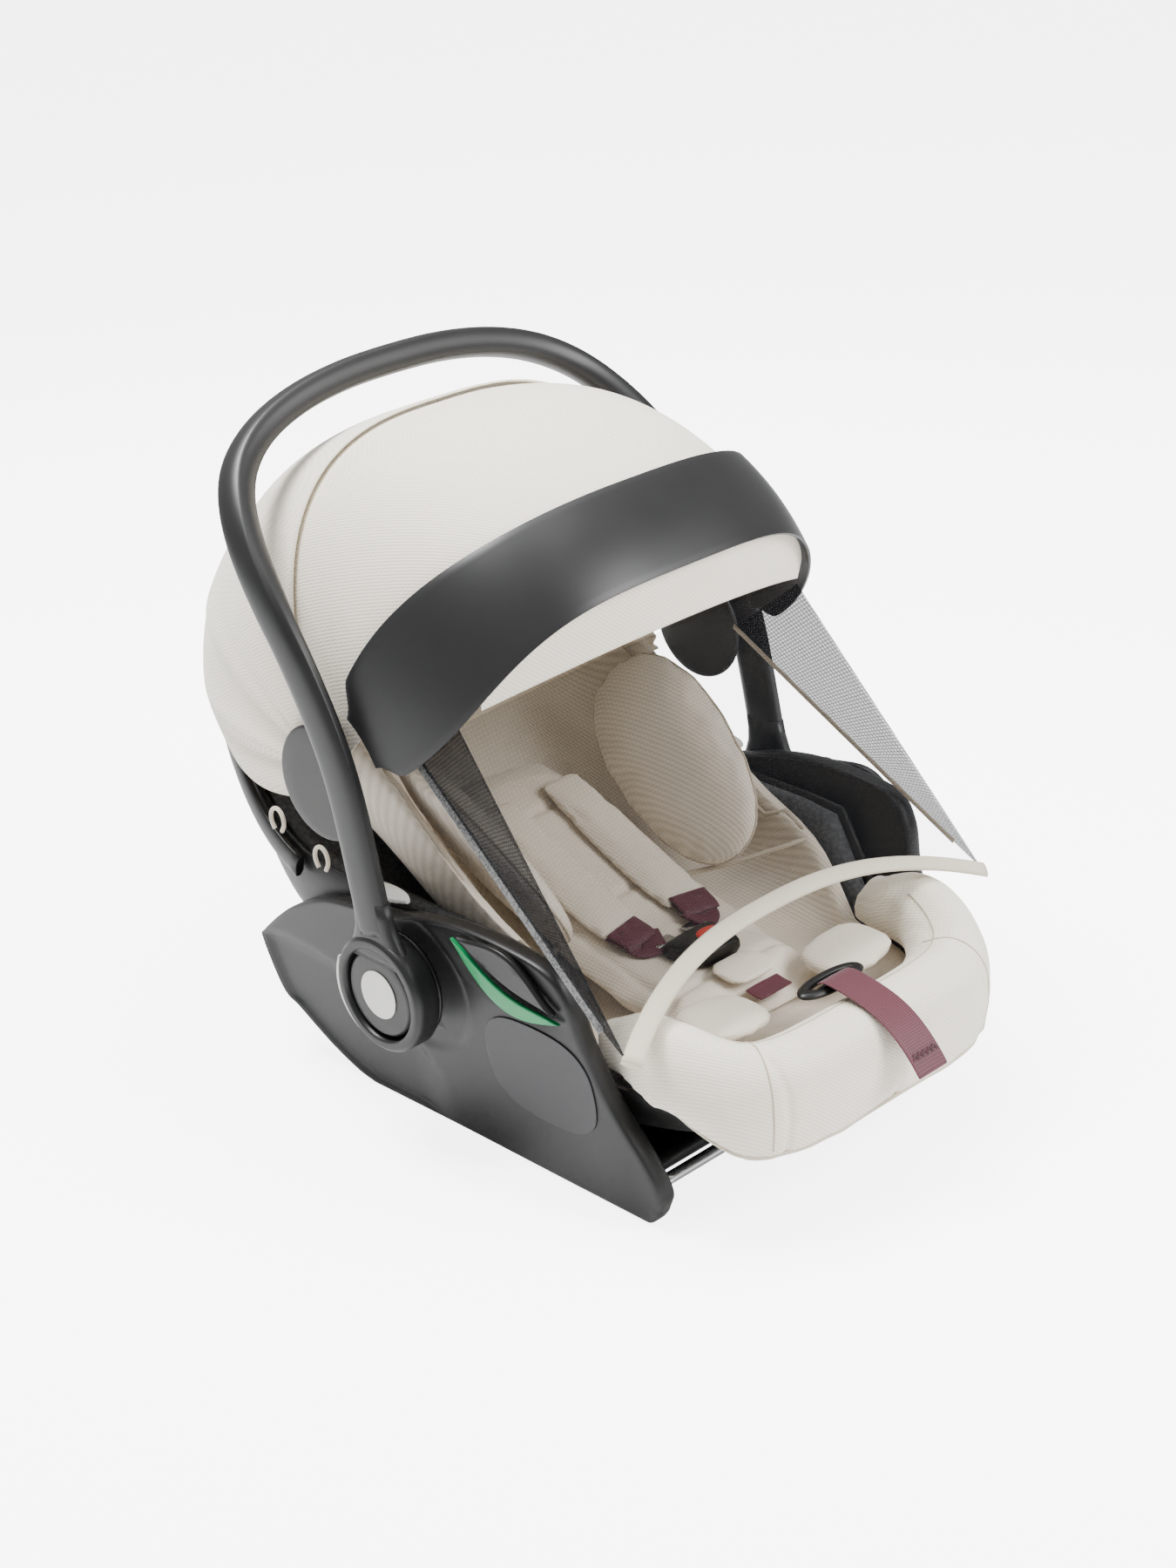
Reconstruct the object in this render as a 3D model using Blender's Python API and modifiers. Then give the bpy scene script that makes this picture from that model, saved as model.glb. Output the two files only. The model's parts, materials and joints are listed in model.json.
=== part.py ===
"""Infant car seat: padded bucket on two side runners, folding canopy with a mesh veil, swinging carry handle.

Frame: metres, +Z up, -Y towards the child's feet, X across, floor at Z = 0.
"""
import math

import bpy
import numpy as np

# ---- overall size (m) ----
SHELL_HALF_WIDTH = 0.178
SHELL_MID_Y = 0.05
HEAD_LENGTH = 0.295
FOOT_LENGTH = 0.345
HEAD_CORNER = 2.7
FOOT_CORNER = 4.2
RIM_Z = 0.185
HEAD_RIM_RISE = 0.150
FOOT_RIM_DROP = 0.085
SHELL_FLOOR_Z = 0.034
SHELL_WALL = 0.0045
LAYER_GAP = 0.0030
COVER_THICK = 0.008
BOLSTER_BASE = 0.1045
SEAT_CROWN = 0.009
SEAT_LAYERS = SHELL_WALL + 2.3 * LAYER_GAP + 0.012 + COVER_THICK + 0.001

HUB_Y, HUB_Z = 0.0, 0.135
HUB_RADIUS = 0.048
HUB_INNER_X = 0.206
HUB_OUTER_X = 0.230

PIVOT_Y, PIVOT_Z = 0.070, 0.285
CANOPY_RADIUS = 0.250
CANOPY_HALF_WIDTH = 0.202
CANOPY_ARCH = 2.9
SHEET = 0.0016
HOOD_BULGE = 0.004
FRONT_DROP = 0.0042
REAR_ANGLE, BOW_ANGLE, VISOR_REAR_ANGLE, VISOR_FRONT_ANGLE = 11.0, 74.0, 123.0, 141.0

PANEL_THICK = 0.017
PANEL_TOP_X = 0.1835
PANEL_LEAN = 0.026

COLLECTION = "infant_car_seat"


# ---- scene and materials ----
def clear_scene():
    for obj in list(bpy.data.objects):
        bpy.data.objects.remove(obj, do_unlink=True)


def material(name, rgb, rough, metallic=0.0):
    mat = bpy.data.materials.new(name)
    mat.use_nodes = True
    shader = mat.node_tree.nodes["Principled BSDF"]
    shader.inputs["Base Color"].default_value = (*rgb, 1.0)
    shader.inputs["Roughness"].default_value = rough
    shader.inputs["Metallic"].default_value = metallic
    mat.diffuse_color = (*rgb, 1.0)
    return mat


clear_scene()
HOME = bpy.data.collections.new(COLLECTION)
bpy.context.scene.collection.children.link(HOME)
GRAPHITE = material("graphite_plastic", (0.055, 0.057, 0.06), 0.42)
BLACK = material("black_plastic", (0.012, 0.012, 0.013), 0.45)
PALE = material("pale_plastic", (0.52, 0.52, 0.48), 0.4)
GREEN = material("green_plastic", (0.0, 0.32, 0.17), 0.4)
RED = material("red_plastic", (0.72, 0.08, 0.06), 0.4)
STEEL = material("steel", (0.6, 0.6, 0.6), 0.25, 1.0)
FOAM = material("bead_foam", (0.6, 0.6, 0.58), 0.9)
CREAM = material("cream_fabric", (0.74, 0.70, 0.62), 0.9)
BEIGE = material("beige_fabric", (0.60, 0.55, 0.47), 0.9)
PLUM = material("plum_webbing", (0.12, 0.025, 0.04), 0.75)
NET = material("charcoal_net", (0.06, 0.06, 0.065), 0.8)


# ---- mesh builders ----
def finish(name, points, faces, mat):
    mesh = bpy.data.meshes.new(name)
    mesh.from_pydata([tuple(p) for p in points], [], faces)
    mesh.validate()
    mesh.materials.append(mat)
    for polygon in mesh.polygons:
        polygon.use_smooth = True
    obj = bpy.data.objects.new(name, mesh)
    HOME.objects.link(obj)
    corners = [[mesh.vertices[i].co for i in polygon.vertices] for polygon in mesh.polygons]
    volume = 0.0
    for ring in corners:
        for b, c in zip(ring[1:], ring[2:]):
            volume += ring[0].dot(b.cross(c))
    if volume < 0:
        mesh.flip_normals()
    return obj


def loft(name, rings, mat):
    """A solid through closed rings of equal count, with flat ends."""
    rings = [np.asarray(ring, float) for ring in rings]
    count = len(rings[0])
    points = np.vstack(rings)
    faces = []
    for k in range(len(rings) - 1):
        for i in range(count):
            j = (i + 1) % count
            faces.append((k * count + i, k * count + j, (k + 1) * count + j, (k + 1) * count + i))
    last = (len(rings) - 1) * count
    faces.append(tuple(range(count))[::-1])
    faces.append(tuple(last + i for i in range(count)))
    return finish(name, points, faces, mat)


def loft_loop(name, rings, mat):
    """A closed hoop: the last ring joins the first."""
    rings = [np.asarray(ring, float) for ring in rings]
    count, total = len(rings[0]), len(rings)
    faces = []
    for k in range(total):
        n = (k + 1) % total
        for i in range(count):
            j = (i + 1) % count
            faces.append((k * count + i, k * count + j, n * count + j, n * count + i))
    return finish(name, np.vstack(rings), faces, mat)


def thick_sheet(name, outer, inner, mat):
    """A solid between two grids of points, closed along its four edges."""
    outer, inner = np.asarray(outer, float), np.asarray(inner, float)
    rows, cols = outer.shape[:2]
    points = np.vstack([outer.reshape(-1, 3), inner.reshape(-1, 3)])
    half = rows * cols
    faces = []
    for r in range(rows - 1):
        for c in range(cols - 1):
            a, b = r * cols + c, (r + 1) * cols + c
            faces.append((a, a + 1, b + 1, b))
            faces.append((half + a, half + b, half + b + 1, half + a + 1))
    edge = list(range(cols))
    edge += [r * cols + cols - 1 for r in range(1, rows)]
    edge += [(rows - 1) * cols + c for c in range(cols - 2, -1, -1)]
    edge += [r * cols for r in range(rows - 2, 0, -1)]
    for a, b in zip(edge, edge[1:] + edge[:1]):
        faces.append((b, a, half + a, half + b))
    return finish(name, points, faces, mat)


def cup(name, outer, inner, mat):
    """A bowl between two stacks of rings, closed at the rim and across each floor."""
    outer, inner = np.asarray(outer, float), np.asarray(inner, float)
    rings, count = outer.shape[:2]
    stack = [outer[k] for k in range(rings - 1, -1, -1)] + [inner[k] for k in range(rings)]
    points = np.vstack(stack)
    faces = []
    for k in range(2 * rings - 1):
        for i in range(count):
            j = (i + 1) % count
            faces.append((k * count + i, k * count + j, (k + 1) * count + j, (k + 1) * count + i))
    base = len(points)
    ends = np.vstack([outer[-1].mean(axis=0), inner[-1].mean(axis=0)])
    last = (2 * rings - 1) * count
    for i in range(count):
        j = (i + 1) % count
        faces.append((base, j, i))
        faces.append((base + 1, last + i, last + j))
    return finish(name, np.vstack([points, ends]), faces, mat)


def disc(name, y, z, radius, x0, x1, mat, steps=24, edge=0.0015, bore=0.0):
    """A turned plate on an axis along X: a profile with broken edges and an optional bore, spun by a Screw."""
    step = edge if x1 > x0 else -edge
    profile = [(x0, bore), (x0, radius - edge), (x0 + step, radius), (x1 - step, radius), (x1, radius - edge),
               (x1, bore)]
    links = [(k, k + 1) for k in range(len(profile) - 1)]
    if bore:
        links.append((len(profile) - 1, 0))
    mesh = bpy.data.meshes.new(name)
    mesh.from_pydata([(x, 0.0, r) for x, r in profile], links, [])
    mesh.materials.append(mat)
    obj = bpy.data.objects.new(name, mesh)
    obj.location = (0.0, y, z)
    HOME.objects.link(obj)
    screw = obj.modifiers.new("turn", "SCREW")
    screw.axis = "X"
    screw.steps = screw.render_steps = steps
    screw.use_merge_vertices = True
    screw.merge_threshold = 0.00001
    screw.use_normal_calculate = True
    return obj


def cord_loop(name, path, radius, mat):
    """A round elastic loop: a poly curve with a bevel and filled caps."""
    curve = bpy.data.curves.new(name, "CURVE")
    curve.dimensions = "3D"
    curve.bevel_depth = radius
    curve.bevel_resolution = 1
    curve.use_fill_caps = True
    spline = curve.splines.new("POLY")
    spline.points.add(len(path) - 1)
    for point, place in zip(spline.points, path):
        point.co = (*place, 1.0)
    curve.materials.append(mat)
    obj = bpy.data.objects.new(name, curve)
    HOME.objects.link(obj)
    return obj


def mirrored(side):
    return {1: "right", -1: "left"}[side]


def smooth(value):
    t = min(1.0, max(0.0, value))
    return t * t * (3 - 2 * t)


def spow(value, power):
    return math.copysign(abs(value) ** power, value)


def catmull(points, steps):
    """A smooth run through the points, `steps` samples a span."""
    p = [np.array(q, float) for q in points]
    p = [2 * p[0] - p[1]] + p + [2 * p[-1] - p[-2]]
    out = []
    for k in range(1, len(p) - 2):
        for s in range(steps):
            t = s / steps
            a, b, c, d = p[k - 1], p[k], p[k + 1], p[k + 2]
            out.append(0.5 * (2 * b + (c - a) * t + (2 * a - 5 * b + 4 * c - d) * t * t
                              + (3 * b - a - 3 * c + d) * t ** 3))
    return out + [p[-2]]


def sweep(name, path, half_sizes, mat, normal=(1, 0, 0), sides=12, power=2.4):
    """An oval or boxy bar along a path. half_sizes gives (across, along normal) at each point."""
    path = [np.array(q, float) for q in path]
    normal = np.array(normal, float)
    rings = []
    last = len(path) - 1
    for k, point in enumerate(path):
        run = path[min(k + 1, last)] - path[max(k - 1, 0)]
        run = run / np.linalg.norm(run)
        up = normal if normal.ndim == 1 else normal[k]
        up = up - run * up.dot(run)
        up = up / np.linalg.norm(up)
        across = np.cross(run, up)
        wide, deep = half_sizes[k] if isinstance(half_sizes, list) else half_sizes
        ring = []
        for i in range(sides):
            a = 2 * math.pi * (i + 0.5) / sides
            ring.append(point + across * wide * spow(math.cos(a), 2 / power)
                        + up * deep * spow(math.sin(a), 2 / power))
        rings.append(ring)
    return loft(name, rings, mat)


# ---- bucket layers ----
def plan_point(angle, inset):
    """The plan outline, drawn in by `inset`."""
    s, c = math.sin(angle), math.cos(angle)
    corner = HEAD_CORNER if s > 0 else FOOT_CORNER
    length = (HEAD_LENGTH if s > 0 else FOOT_LENGTH) - inset
    return (SHELL_HALF_WIDTH - inset) * spow(c, 2 / corner), SHELL_MID_Y + length * spow(s, 2 / corner)


def shell_rim(y):
    head = HEAD_RIM_RISE * smooth((y - 0.10) / 0.26) ** 1.6
    foot = FOOT_RIM_DROP * smooth((-0.120 - y) / 0.04)
    return RIM_Z + head - foot


def cover_rim(y):
    body = 0.315 - 0.125 * smooth((0.03 - y) / 0.075) - 0.082 * smooth((-0.115 - y) / 0.04)
    return body + 0.030 * smooth((y - 0.2) / 0.1) - 0.010


def shell_floor(y):
    return SHELL_FLOOR_Z + 0.065 * smooth((y - 0.05) / 0.26)


def seat_floor(y):
    """Height of the padded floor: level under the hips, sloping up behind the back."""
    back = max(0.0, y + 0.085)
    front = max(0.0, -0.17 - y)
    return SHELL_FLOOR_Z + 0.018 + 0.62 * back ** 1.22 + 0.12 * front


def bowl(inset, rim, floor, rings=8, count=40, drop=0.0):
    layers = []
    for k in range(rings):
        depth_angle = 0.5 * math.pi * 0.90 * (k / (rings - 1)) ** 0.8
        size = math.cos(depth_angle) ** (2 / 3.0)
        depth = math.sin(depth_angle) ** (2 / 3.0)
        ring = []
        for i in range(count):
            angle = 2 * math.pi * (i + 0.5) / count
            x, y = plan_point(angle, inset)
            rim_y = plan_point(angle, 0.0)[1]
            top = rim(rim_y) - drop
            bottom = floor(SHELL_MID_Y + (rim_y - SHELL_MID_Y) * size) + inset
            ring.append((x * size, SHELL_MID_Y + (y - SHELL_MID_Y) * size, top + (bottom - top) * depth))
        layers.append(ring)
    return layers


def make_bucket():
    inner = SHELL_WALL
    cup("shell_bucket", bowl(0.0, shell_rim, shell_floor), bowl(inner, shell_rim, shell_floor), BLACK)
    foam_out = inner + LAYER_GAP
    foam_in = foam_out + 0.012
    cup("foam_liner", bowl(foam_out, shell_rim, shell_floor, drop=0.002),
        bowl(foam_in, shell_rim, seat_floor, drop=0.002), FOAM)
    cover_out = foam_in + 1.3 * LAYER_GAP
    cup("seat_cover", bowl(cover_out, cover_rim, lambda y: seat_floor(y) + 0.0005),
        bowl(cover_out + COVER_THICK, cover_rim, lambda y: seat_floor(y) + 0.0005), BEIGE)


def make_rim_trim():
    """The rolled black rim round the head end."""
    path, normals = [], []
    for k in range(25):
        angle = math.radians(12.5 + 155 * k / 24)
        x, y = plan_point(angle, -0.0052)
        path.append((x, y, shell_rim(y) - 0.009))
        normals.append((0, 0, 1))
    sweep("rim_trim", path, (0.0046, 0.011), BLACK, normal=normals, sides=8)


def make_bolster():
    """The padded cover that wraps the foot end of the rim."""
    rings = []
    start, stop, count = math.radians(202.5), math.radians(337.5), 36
    for k in range(count + 1):
        angle = start + (stop - start) * k / count
        x, y = plan_point(angle, 0.0)
        dx, dy = plan_point(angle + 0.01, 0.0)
        ex, ey = plan_point(angle - 0.01, 0.0)
        out = np.array([dy - ey, ex - dx])
        out = out / np.linalg.norm(out)
        full = 0.12 + 0.88 * smooth((-y - 0.180) / 0.055)
        end = 0.70 + 0.30 * smooth(min(k, count - k) / 3)
        rise = (0.158 - 0.022 * smooth((-y - 0.23) / 0.07) - BOLSTER_BASE) * end
        hang = 0.052 * smooth((-y - 0.225) / 0.06)
        section = [(0.0035, 0.0), (0.0050, -0.5 * hang), (0.0080, -0.94 * hang), (0.0130, -hang),
                   (0.0220, -0.88 * hang), (0.0280, -0.30 * hang), (0.0275, 0.30 * rise), (0.0200, 0.72 * rise),
                   (0.0060, rise), (-0.0140, 1.02 * rise), (-0.0320, 0.80 * rise), (-0.0420, 0.42 * rise),
                   (-0.0400, 0.14 * rise), (-0.0200, 0.0)]
        ring = []
        for o, dz in section:
            o = 0.0035 + (o - 0.0035) * full if o > 0.0035 else o * end
            o -= 0.010 * (1 - full)
            ring.append((x + out[0] * o, y + out[1] * o, BOLSTER_BASE + dz))
        rings.append(ring)
    loft("foot_bolster", rings, CREAM)


# ---- side runners ----
def offset_outline(outline, inset):
    outline = np.asarray(outline, float)
    ahead = np.roll(outline, -1, axis=0) - np.roll(outline, 1, axis=0)
    normal = np.stack([-ahead[:, 1], ahead[:, 0]], axis=1)
    normal /= np.linalg.norm(normal, axis=1)[:, None]
    area = np.sum(outline[:, 0] * np.roll(outline[:, 1], -1) - np.roll(outline[:, 0], -1) * outline[:, 1])
    return outline + normal * inset * (1 if area > 0 else -1)


def plate(name, outline, side, x_in, thick, mat, edge=0.003, lean=0.0, lean_top=RIM_Z):
    """A plate in the Y-Z plane with softened edges, leaning inwards towards its foot."""
    rings = []
    for x, inset in ((x_in, edge * 0.6), (x_in + edge, 0.0), (x_in + thick - edge, 0.0), (x_in + thick, edge)):
        shape = offset_outline(outline, inset)
        rings.append([(side * (x - lean * (1 - z / lean_top)), y, z) for y, z in shape])
    return loft(name, rings, mat)


def runner_outline():
    knots = [(-0.238, 0.012), (-0.244, 0.030), (-0.232, 0.058), (-0.206, 0.098), (-0.188, 0.140),
             (-0.178, 0.178), (-0.160, 0.198), (-0.120, 0.205), (-0.070, 0.205), (-0.025, 0.198),
             (0.010, 0.188), (0.050, 0.182), (0.100, 0.172), (0.150, 0.146), (0.192, 0.112), (0.198, 0.100),
             (0.186, 0.056), (0.168, 0.043), (0.135, 0.020), (0.105, 0.005), (0.085, 0.0)]
    outline = []
    for q in catmull(knots, 2):
        outline.append((q[0], max(0.0, q[1])))
    outline += [(0.020, 0.0), (-0.060, 0.0), (-0.120, 0.0), (-0.180, 0.0), (-0.222, 0.0), (-0.232, 0.004)]
    return outline


def make_runners():
    for side in (-1, 1):
        plate("side_runner_" + mirrored(side), runner_outline(), side, PANEL_TOP_X, PANEL_THICK, GRAPHITE,
              edge=0.004, lean=PANEL_LEAN)


def make_base_tray():
    """The tray under the bucket that ties the two runners together."""
    rings = []
    for x in (-0.148, -0.142, -0.06, 0.06, 0.142, 0.148):
        tip = 0.004 if abs(x) > 0.145 else 0.0
        outline = [(-0.205, 0.012 + tip), (0.10, 0.012 + tip), (0.14, 0.022), (0.14, 0.030 - tip),
                   (0.09, 0.0315 - tip), (-0.19, 0.0315 - tip), (-0.205, 0.028 - tip)]
        rings.append([(x, y, z) for y, z in outline])
    loft("base_tray", rings, BLACK)


def make_latch_bar():
    """The steel bar across the foot end that a base latches onto."""
    disc("latch_bar", -0.228, 0.030, 0.005, -0.1565, 0.1565, STEEL, steps=14, edge=0.0006)


# ---- belt guides, tabs and label on the sides ----
def crescent(low, high, sag_low, sag_high, count=12):
    """An outline between two bowed edges that share their ends."""
    a, b = np.array(low, float), np.array(high, float)
    run = b - a
    side = np.array([-run[1], run[0]])
    lower = [a + run * t + side * sag_low * math.sin(math.pi * t) for t in np.linspace(0, 1, count)]
    upper = [a + run * t + side * sag_high * math.sin(math.pi * t) ** 1.4
             for t in np.linspace(1, 0, count)[1:-1]]
    return [tuple(q) for q in lower + upper]


def make_belt_guides():
    for side in (-1, 1):
        gap = 0.0004
        x_out = PANEL_TOP_X + PANEL_THICK + gap
        lower = crescent((-0.062, 0.196), (-0.170, 0.158), 0.26, 0.11)
        plate("belt_guide_" + mirrored(side), lower, side, x_out, 0.0035, GREEN, edge=0.0008, lean=PANEL_LEAN)
        grip = crescent((-0.071, 0.2015), (-0.168, 0.1665), 0.085, -0.20)
        plate("belt_grip_" + mirrored(side), grip, side, x_out, 0.0065, BLACK, edge=0.002, lean=PANEL_LEAN)


def make_side_trim():
    for side in (-1, 1):
        x_rim = SHELL_HALF_WIDTH
        path = [(side * (x_rim + 0.010), y, RIM_Z + 0.0125) for y in (0.058, 0.052, 0.038, 0.022, 0.010, 0.004)]
        sizes = [(0.002, 0.002), (0.0065, 0.003), (0.010, 0.0042), (0.010, 0.0042), (0.0065, 0.003),
                 (0.002, 0.002)]
        sweep("rim_tab_" + mirrored(side), path, sizes, PALE, normal=(0, 0, 1), sides=10)
    angles = np.linspace(0, 2 * math.pi, 28, endpoint=False)
    outline = [(-0.134 + 0.058 * spow(math.cos(a), 0.72), 0.098 + 0.044 * spow(math.sin(a), 0.72))
               for a in angles]
    plate("label_plate", outline[::-1], -1, PANEL_TOP_X + PANEL_THICK + 0.0004, 0.0008, GRAPHITE, edge=0.0002,
          lean=PANEL_LEAN)


# ---- handle and hubs ----
HANDLE_LINE = [(0.2215, 0.003, 0.1840), (0.2215, 0.012, 0.232), (0.2215, 0.024, 0.290), (0.2215, 0.040, 0.335),
               (0.2205, 0.068, 0.384), (0.2170, 0.102, 0.428), (0.2060, 0.140, 0.469), (0.1820, 0.172, 0.502),
               (0.1400, 0.190, 0.526), (0.0850, 0.198, 0.540), (0.0300, 0.201, 0.545)]


def make_handle():
    half = catmull(HANDLE_LINE, 2)
    path = [np.array((-q[0], q[1], q[2])) for q in half] + [q for q in half[::-1]]
    total = len(path) - 1
    sizes, normals = [], []
    for k, q in enumerate(path):
        blade = smooth((q[2] - 0.36) / 0.14)
        wide = 0.0185 + (0.0135 - 0.0185) * blade
        deep = 0.0078 + (0.0125 - 0.0078) * blade
        sizes.append((wide, deep))
        lift = smooth((q[2] - 0.40) / 0.13)
        outward = np.array([math.copysign(1 - lift, q[0]) if abs(q[0]) > 0.02 else 0.0, 0.42 * lift, lift])
        normals.append(outward / np.linalg.norm(outward))
    sweep("handle_bar", path, sizes, GRAPHITE, normal=normals, sides=12, power=2.8)
    for side in (-1, 1):
        disc("handle_boss_" + mirrored(side), HUB_Y, HUB_Z, HUB_RADIUS, side * HUB_INNER_X,
             side * HUB_OUTER_X, GRAPHITE, steps=32, edge=0.003, bore=0.0385)


def make_hubs():
    for side in (-1, 1):
        hand = mirrored(side)
        disc("hub_socket_" + hand, HUB_Y, HUB_Z, 0.044, side * 0.1995, side * (HUB_INNER_X - 0.0006), BLACK,
             edge=0.002, bore=0.0062)
        disc("hub_gear_" + hand, HUB_Y, HUB_Z, 0.0378, side * HUB_INNER_X, side * 0.2125, BLACK, edge=0.001,
             bore=0.0062)
        disc("hub_button_" + hand, HUB_Y, HUB_Z, 0.0355, side * 0.2195, side * 0.2275, GRAPHITE, steps=28,
             edge=0.002)
        disc("hub_badge_" + hand, HUB_Y, HUB_Z, 0.0200, side * 0.2278, side * 0.2286, PALE, edge=0.0003)


def make_hub_triggers():
    """The pale crescent squeezed towards each hub to free the handle."""
    for side in (-1, 1):
        outline = []
        for radius, order in ((0.0505, 1), (0.0550, -1)):
            for k in range(12)[::order]:
                swell = math.sin(math.pi * k / 11) if radius > 0.052 else 0.0
                a = math.radians(-58 + 76 * k / 11)
                r = radius - 0.0030 * (1 - swell) * (radius > 0.052)
                outline.append((HUB_Y + r * math.cos(a), HUB_Z + r * math.sin(a)))
        plate("hub_trigger_" + mirrored(side), outline, side, 0.2110, 0.0140, PALE, edge=0.0004)


# ---- canopy ----
def canopy_point(phi, theta, lift=0.0):
    """A point of the hood: phi runs from the head end over the top, theta from left to right."""
    bulge = 0.0
    if REAR_ANGLE < phi < BOW_ANGLE:
        bulge = HOOD_BULGE * math.sin(math.pi * (phi - REAR_ANGLE) / (BOW_ANGLE - REAR_ANGLE))
    reach = CANOPY_RADIUS + 0.029 * smooth((45 - phi) / 35) + bulge + lift
    half = CANOPY_HALF_WIDTH - 0.012 * smooth((50 - phi) / 40) + 0.2 * bulge + lift
    radius = reach * abs(math.sin(theta)) ** (2 / CANOPY_ARCH)
    x = -half * spow(math.cos(theta), 2 / CANOPY_ARCH)
    a = math.radians(phi)
    return x, PIVOT_Y + radius * math.cos(a), PIVOT_Z + radius * math.sin(a)


def theta_steps(count, low=0.055):
    return [low + (math.pi - 2 * low) * (0.5 - 0.5 * math.cos(math.pi * k / (count - 1))) for k in range(count)]


def hood_sheet(name, phi_from, phi_to, spans, mat, lift=0.0, thick=SHEET, count=25, low=0.055):
    """A sheet of the hood. phi_from and phi_to may depend on theta."""
    outer, inner = [], []
    for s in range(spans + 1):
        rows = ([], [])
        for theta in theta_steps(count, low):
            a = phi_from(theta) if callable(phi_from) else phi_from
            b = phi_to(theta) if callable(phi_to) else phi_to
            phi = a + (b - a) * s / spans
            rows[0].append(canopy_point(phi, theta, lift))
            rows[1].append(canopy_point(phi, theta, lift - thick))
        outer.append(rows[0])
        inner.append(rows[1])
    return thick_sheet(name, outer, inner, mat)


def skirt_edge(theta):
    """The hood's rear edge, which drops from the head rim to the rim beside the pivots."""
    return REAR_ANGLE + 3.0 - 61.0 * (1 - math.sin(theta) ** (2 / CANOPY_ARCH))


def visor_rear(theta):
    return VISOR_REAR_ANGLE - 17.0 * (1 - math.sin(theta)) ** 1.3


def visor_front(theta):
    return VISOR_FRONT_ANGLE + 33.0 * (1 - math.sin(theta)) ** 1.6


def make_canopy():
    hood_sheet("canopy_rear", skirt_edge, BOW_ANGLE - 0.4, 7, CREAM)
    hood_sheet("canopy_front", BOW_ANGLE - 2.0, VISOR_REAR_ANGLE + 8.0, 5, CREAM, lift=-FRONT_DROP)
    hood_sheet("visor_band", visor_rear, visor_front, 3, GRAPHITE, lift=0.0075, thick=0.0024, low=0.16)
    hood_sheet("canopy_bow", BOW_ANGLE - 1.3, BOW_ANGLE + 1.3, 1, STEEL, lift=-FRONT_DROP - SHEET - 0.0018,
               thick=0.0030, low=0.06)
    for side in (-1, 1):
        hand = mirrored(side)
        disc("canopy_pivot_" + hand, PIVOT_Y, PIVOT_Z, 0.047, side * 0.2060, side * 0.2105, GRAPHITE, steps=32)


HEM_CORNER = (0.1955, -0.064, 0.362)
VEIL_CORNER = (0.201, -0.240, 0.156)
TAPE_TOP = (0.184, -0.004, 0.314)
TAPE_FOOT = (0.199, -0.214, 0.172)
VEIL_MIDDLE = (0.0, -0.10, 0.10)
NET_THICK = 0.0010
STRIP_END, STRIP_HALF = 0.66, 0.1712


def hem_point(x):
    """The straight-looking front edge of the hood."""
    rise = 1 - (abs(x) / HEM_CORNER[0]) ** 2
    return np.array([x, HEM_CORNER[1] - 0.058 * rise, HEM_CORNER[2] + 0.040 * rise])


def foot_point(x):
    """The veil's bound edge, arched back from the two foot corners."""
    rise = 1 - (abs(x) / HEM_CORNER[0]) ** 2.4
    return np.array([x * VEIL_CORNER[0] / HEM_CORNER[0], VEIL_CORNER[1] + 0.046 * rise,
                     VEIL_CORNER[2] + 0.036 * rise])


def make_front_strip():
    outer, inner = [], []
    count, spans = 25, 3
    for s in range(spans + 1):
        a, b = [], []
        for theta in np.linspace(STRIP_END, math.pi - STRIP_END, count):
            phi = visor_front(theta) + 0.8
            top = np.array(canopy_point(phi, theta, 0.0030))
            hem = hem_point(-STRIP_HALF * math.cos((theta - STRIP_END) * math.pi / (math.pi - 2 * STRIP_END)))
            t = s / spans
            point = top * (1 - t) + hem * t
            back = np.array([0.0, 0.92, 0.40])
            a.append(point)
            b.append(point + back / np.linalg.norm(back) * SHEET)
        outer.append(a)
        inner.append(b)
    thick_sheet("canopy_front_strip", outer, inner, CREAM)


def veil_rows(spans=7, across=15):
    rows = []
    for s in range(spans + 1):
        t = s / spans
        row = []
        for side in (-1, 1):
            tape = (np.array(TAPE_TOP) * (1 - t) + np.array(TAPE_FOOT) * t) * (side, 1, 1)
            corner = (np.array(HEM_CORNER) * (1 - t) + np.array(VEIL_CORNER) * t) * (side, 1, 1)
            edge = [tape, (tape + corner) / 2]
            row = row + edge if side < 0 else row
            if side > 0:
                for k in range(across):
                    x = -HEM_CORNER[0] + 2 * HEM_CORNER[0] * k / (across - 1)
                    row.append(hem_point(x) * (1 - t) + foot_point(x) * t)
                row += edge[::-1]
        rows.append(row)
    return rows


def make_veil():
    rows = np.array(veil_rows())
    rows[:, :, 0] *= np.linspace(0.945, 1.0, len(rows))[:, None]
    rows[:, :, 1] -= 0.0012
    rows[:, :, 2] -= 0.0022
    back = np.cross(np.gradient(rows, axis=0), np.gradient(rows, axis=1))
    back /= np.linalg.norm(back, axis=2)[:, :, None]
    if (back * (VEIL_MIDDLE - rows)).sum() < 0:
        back = -back
    thick_sheet("veil_net", rows, rows + back * NET_THICK, NET)
    foot = rows[-1]
    path = [foot[k] + np.array([0, -0.0052, -0.0030]) for k in range(2, len(foot) - 2)]
    sweep("veil_binding", path, (0.0042, 0.0016), CREAM, normal=[(0, -0.35, 0.94)] * len(path), sides=8)


def make_loops():
    for side in (-1, 1):
        for n, (y, z) in enumerate(((0.152, 0.224), (0.100, 0.206))):
            path = []
            for k in range(9):
                a = math.radians(-60 + 300 * k / 8)
                path.append((side * 0.193, y + 0.0085 * math.cos(a), z + 0.0105 * math.sin(a)))
            cord_loop("hood_loop_%s_%d" % (mirrored(side), n + 1), path, 0.0022, CREAM)


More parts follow.
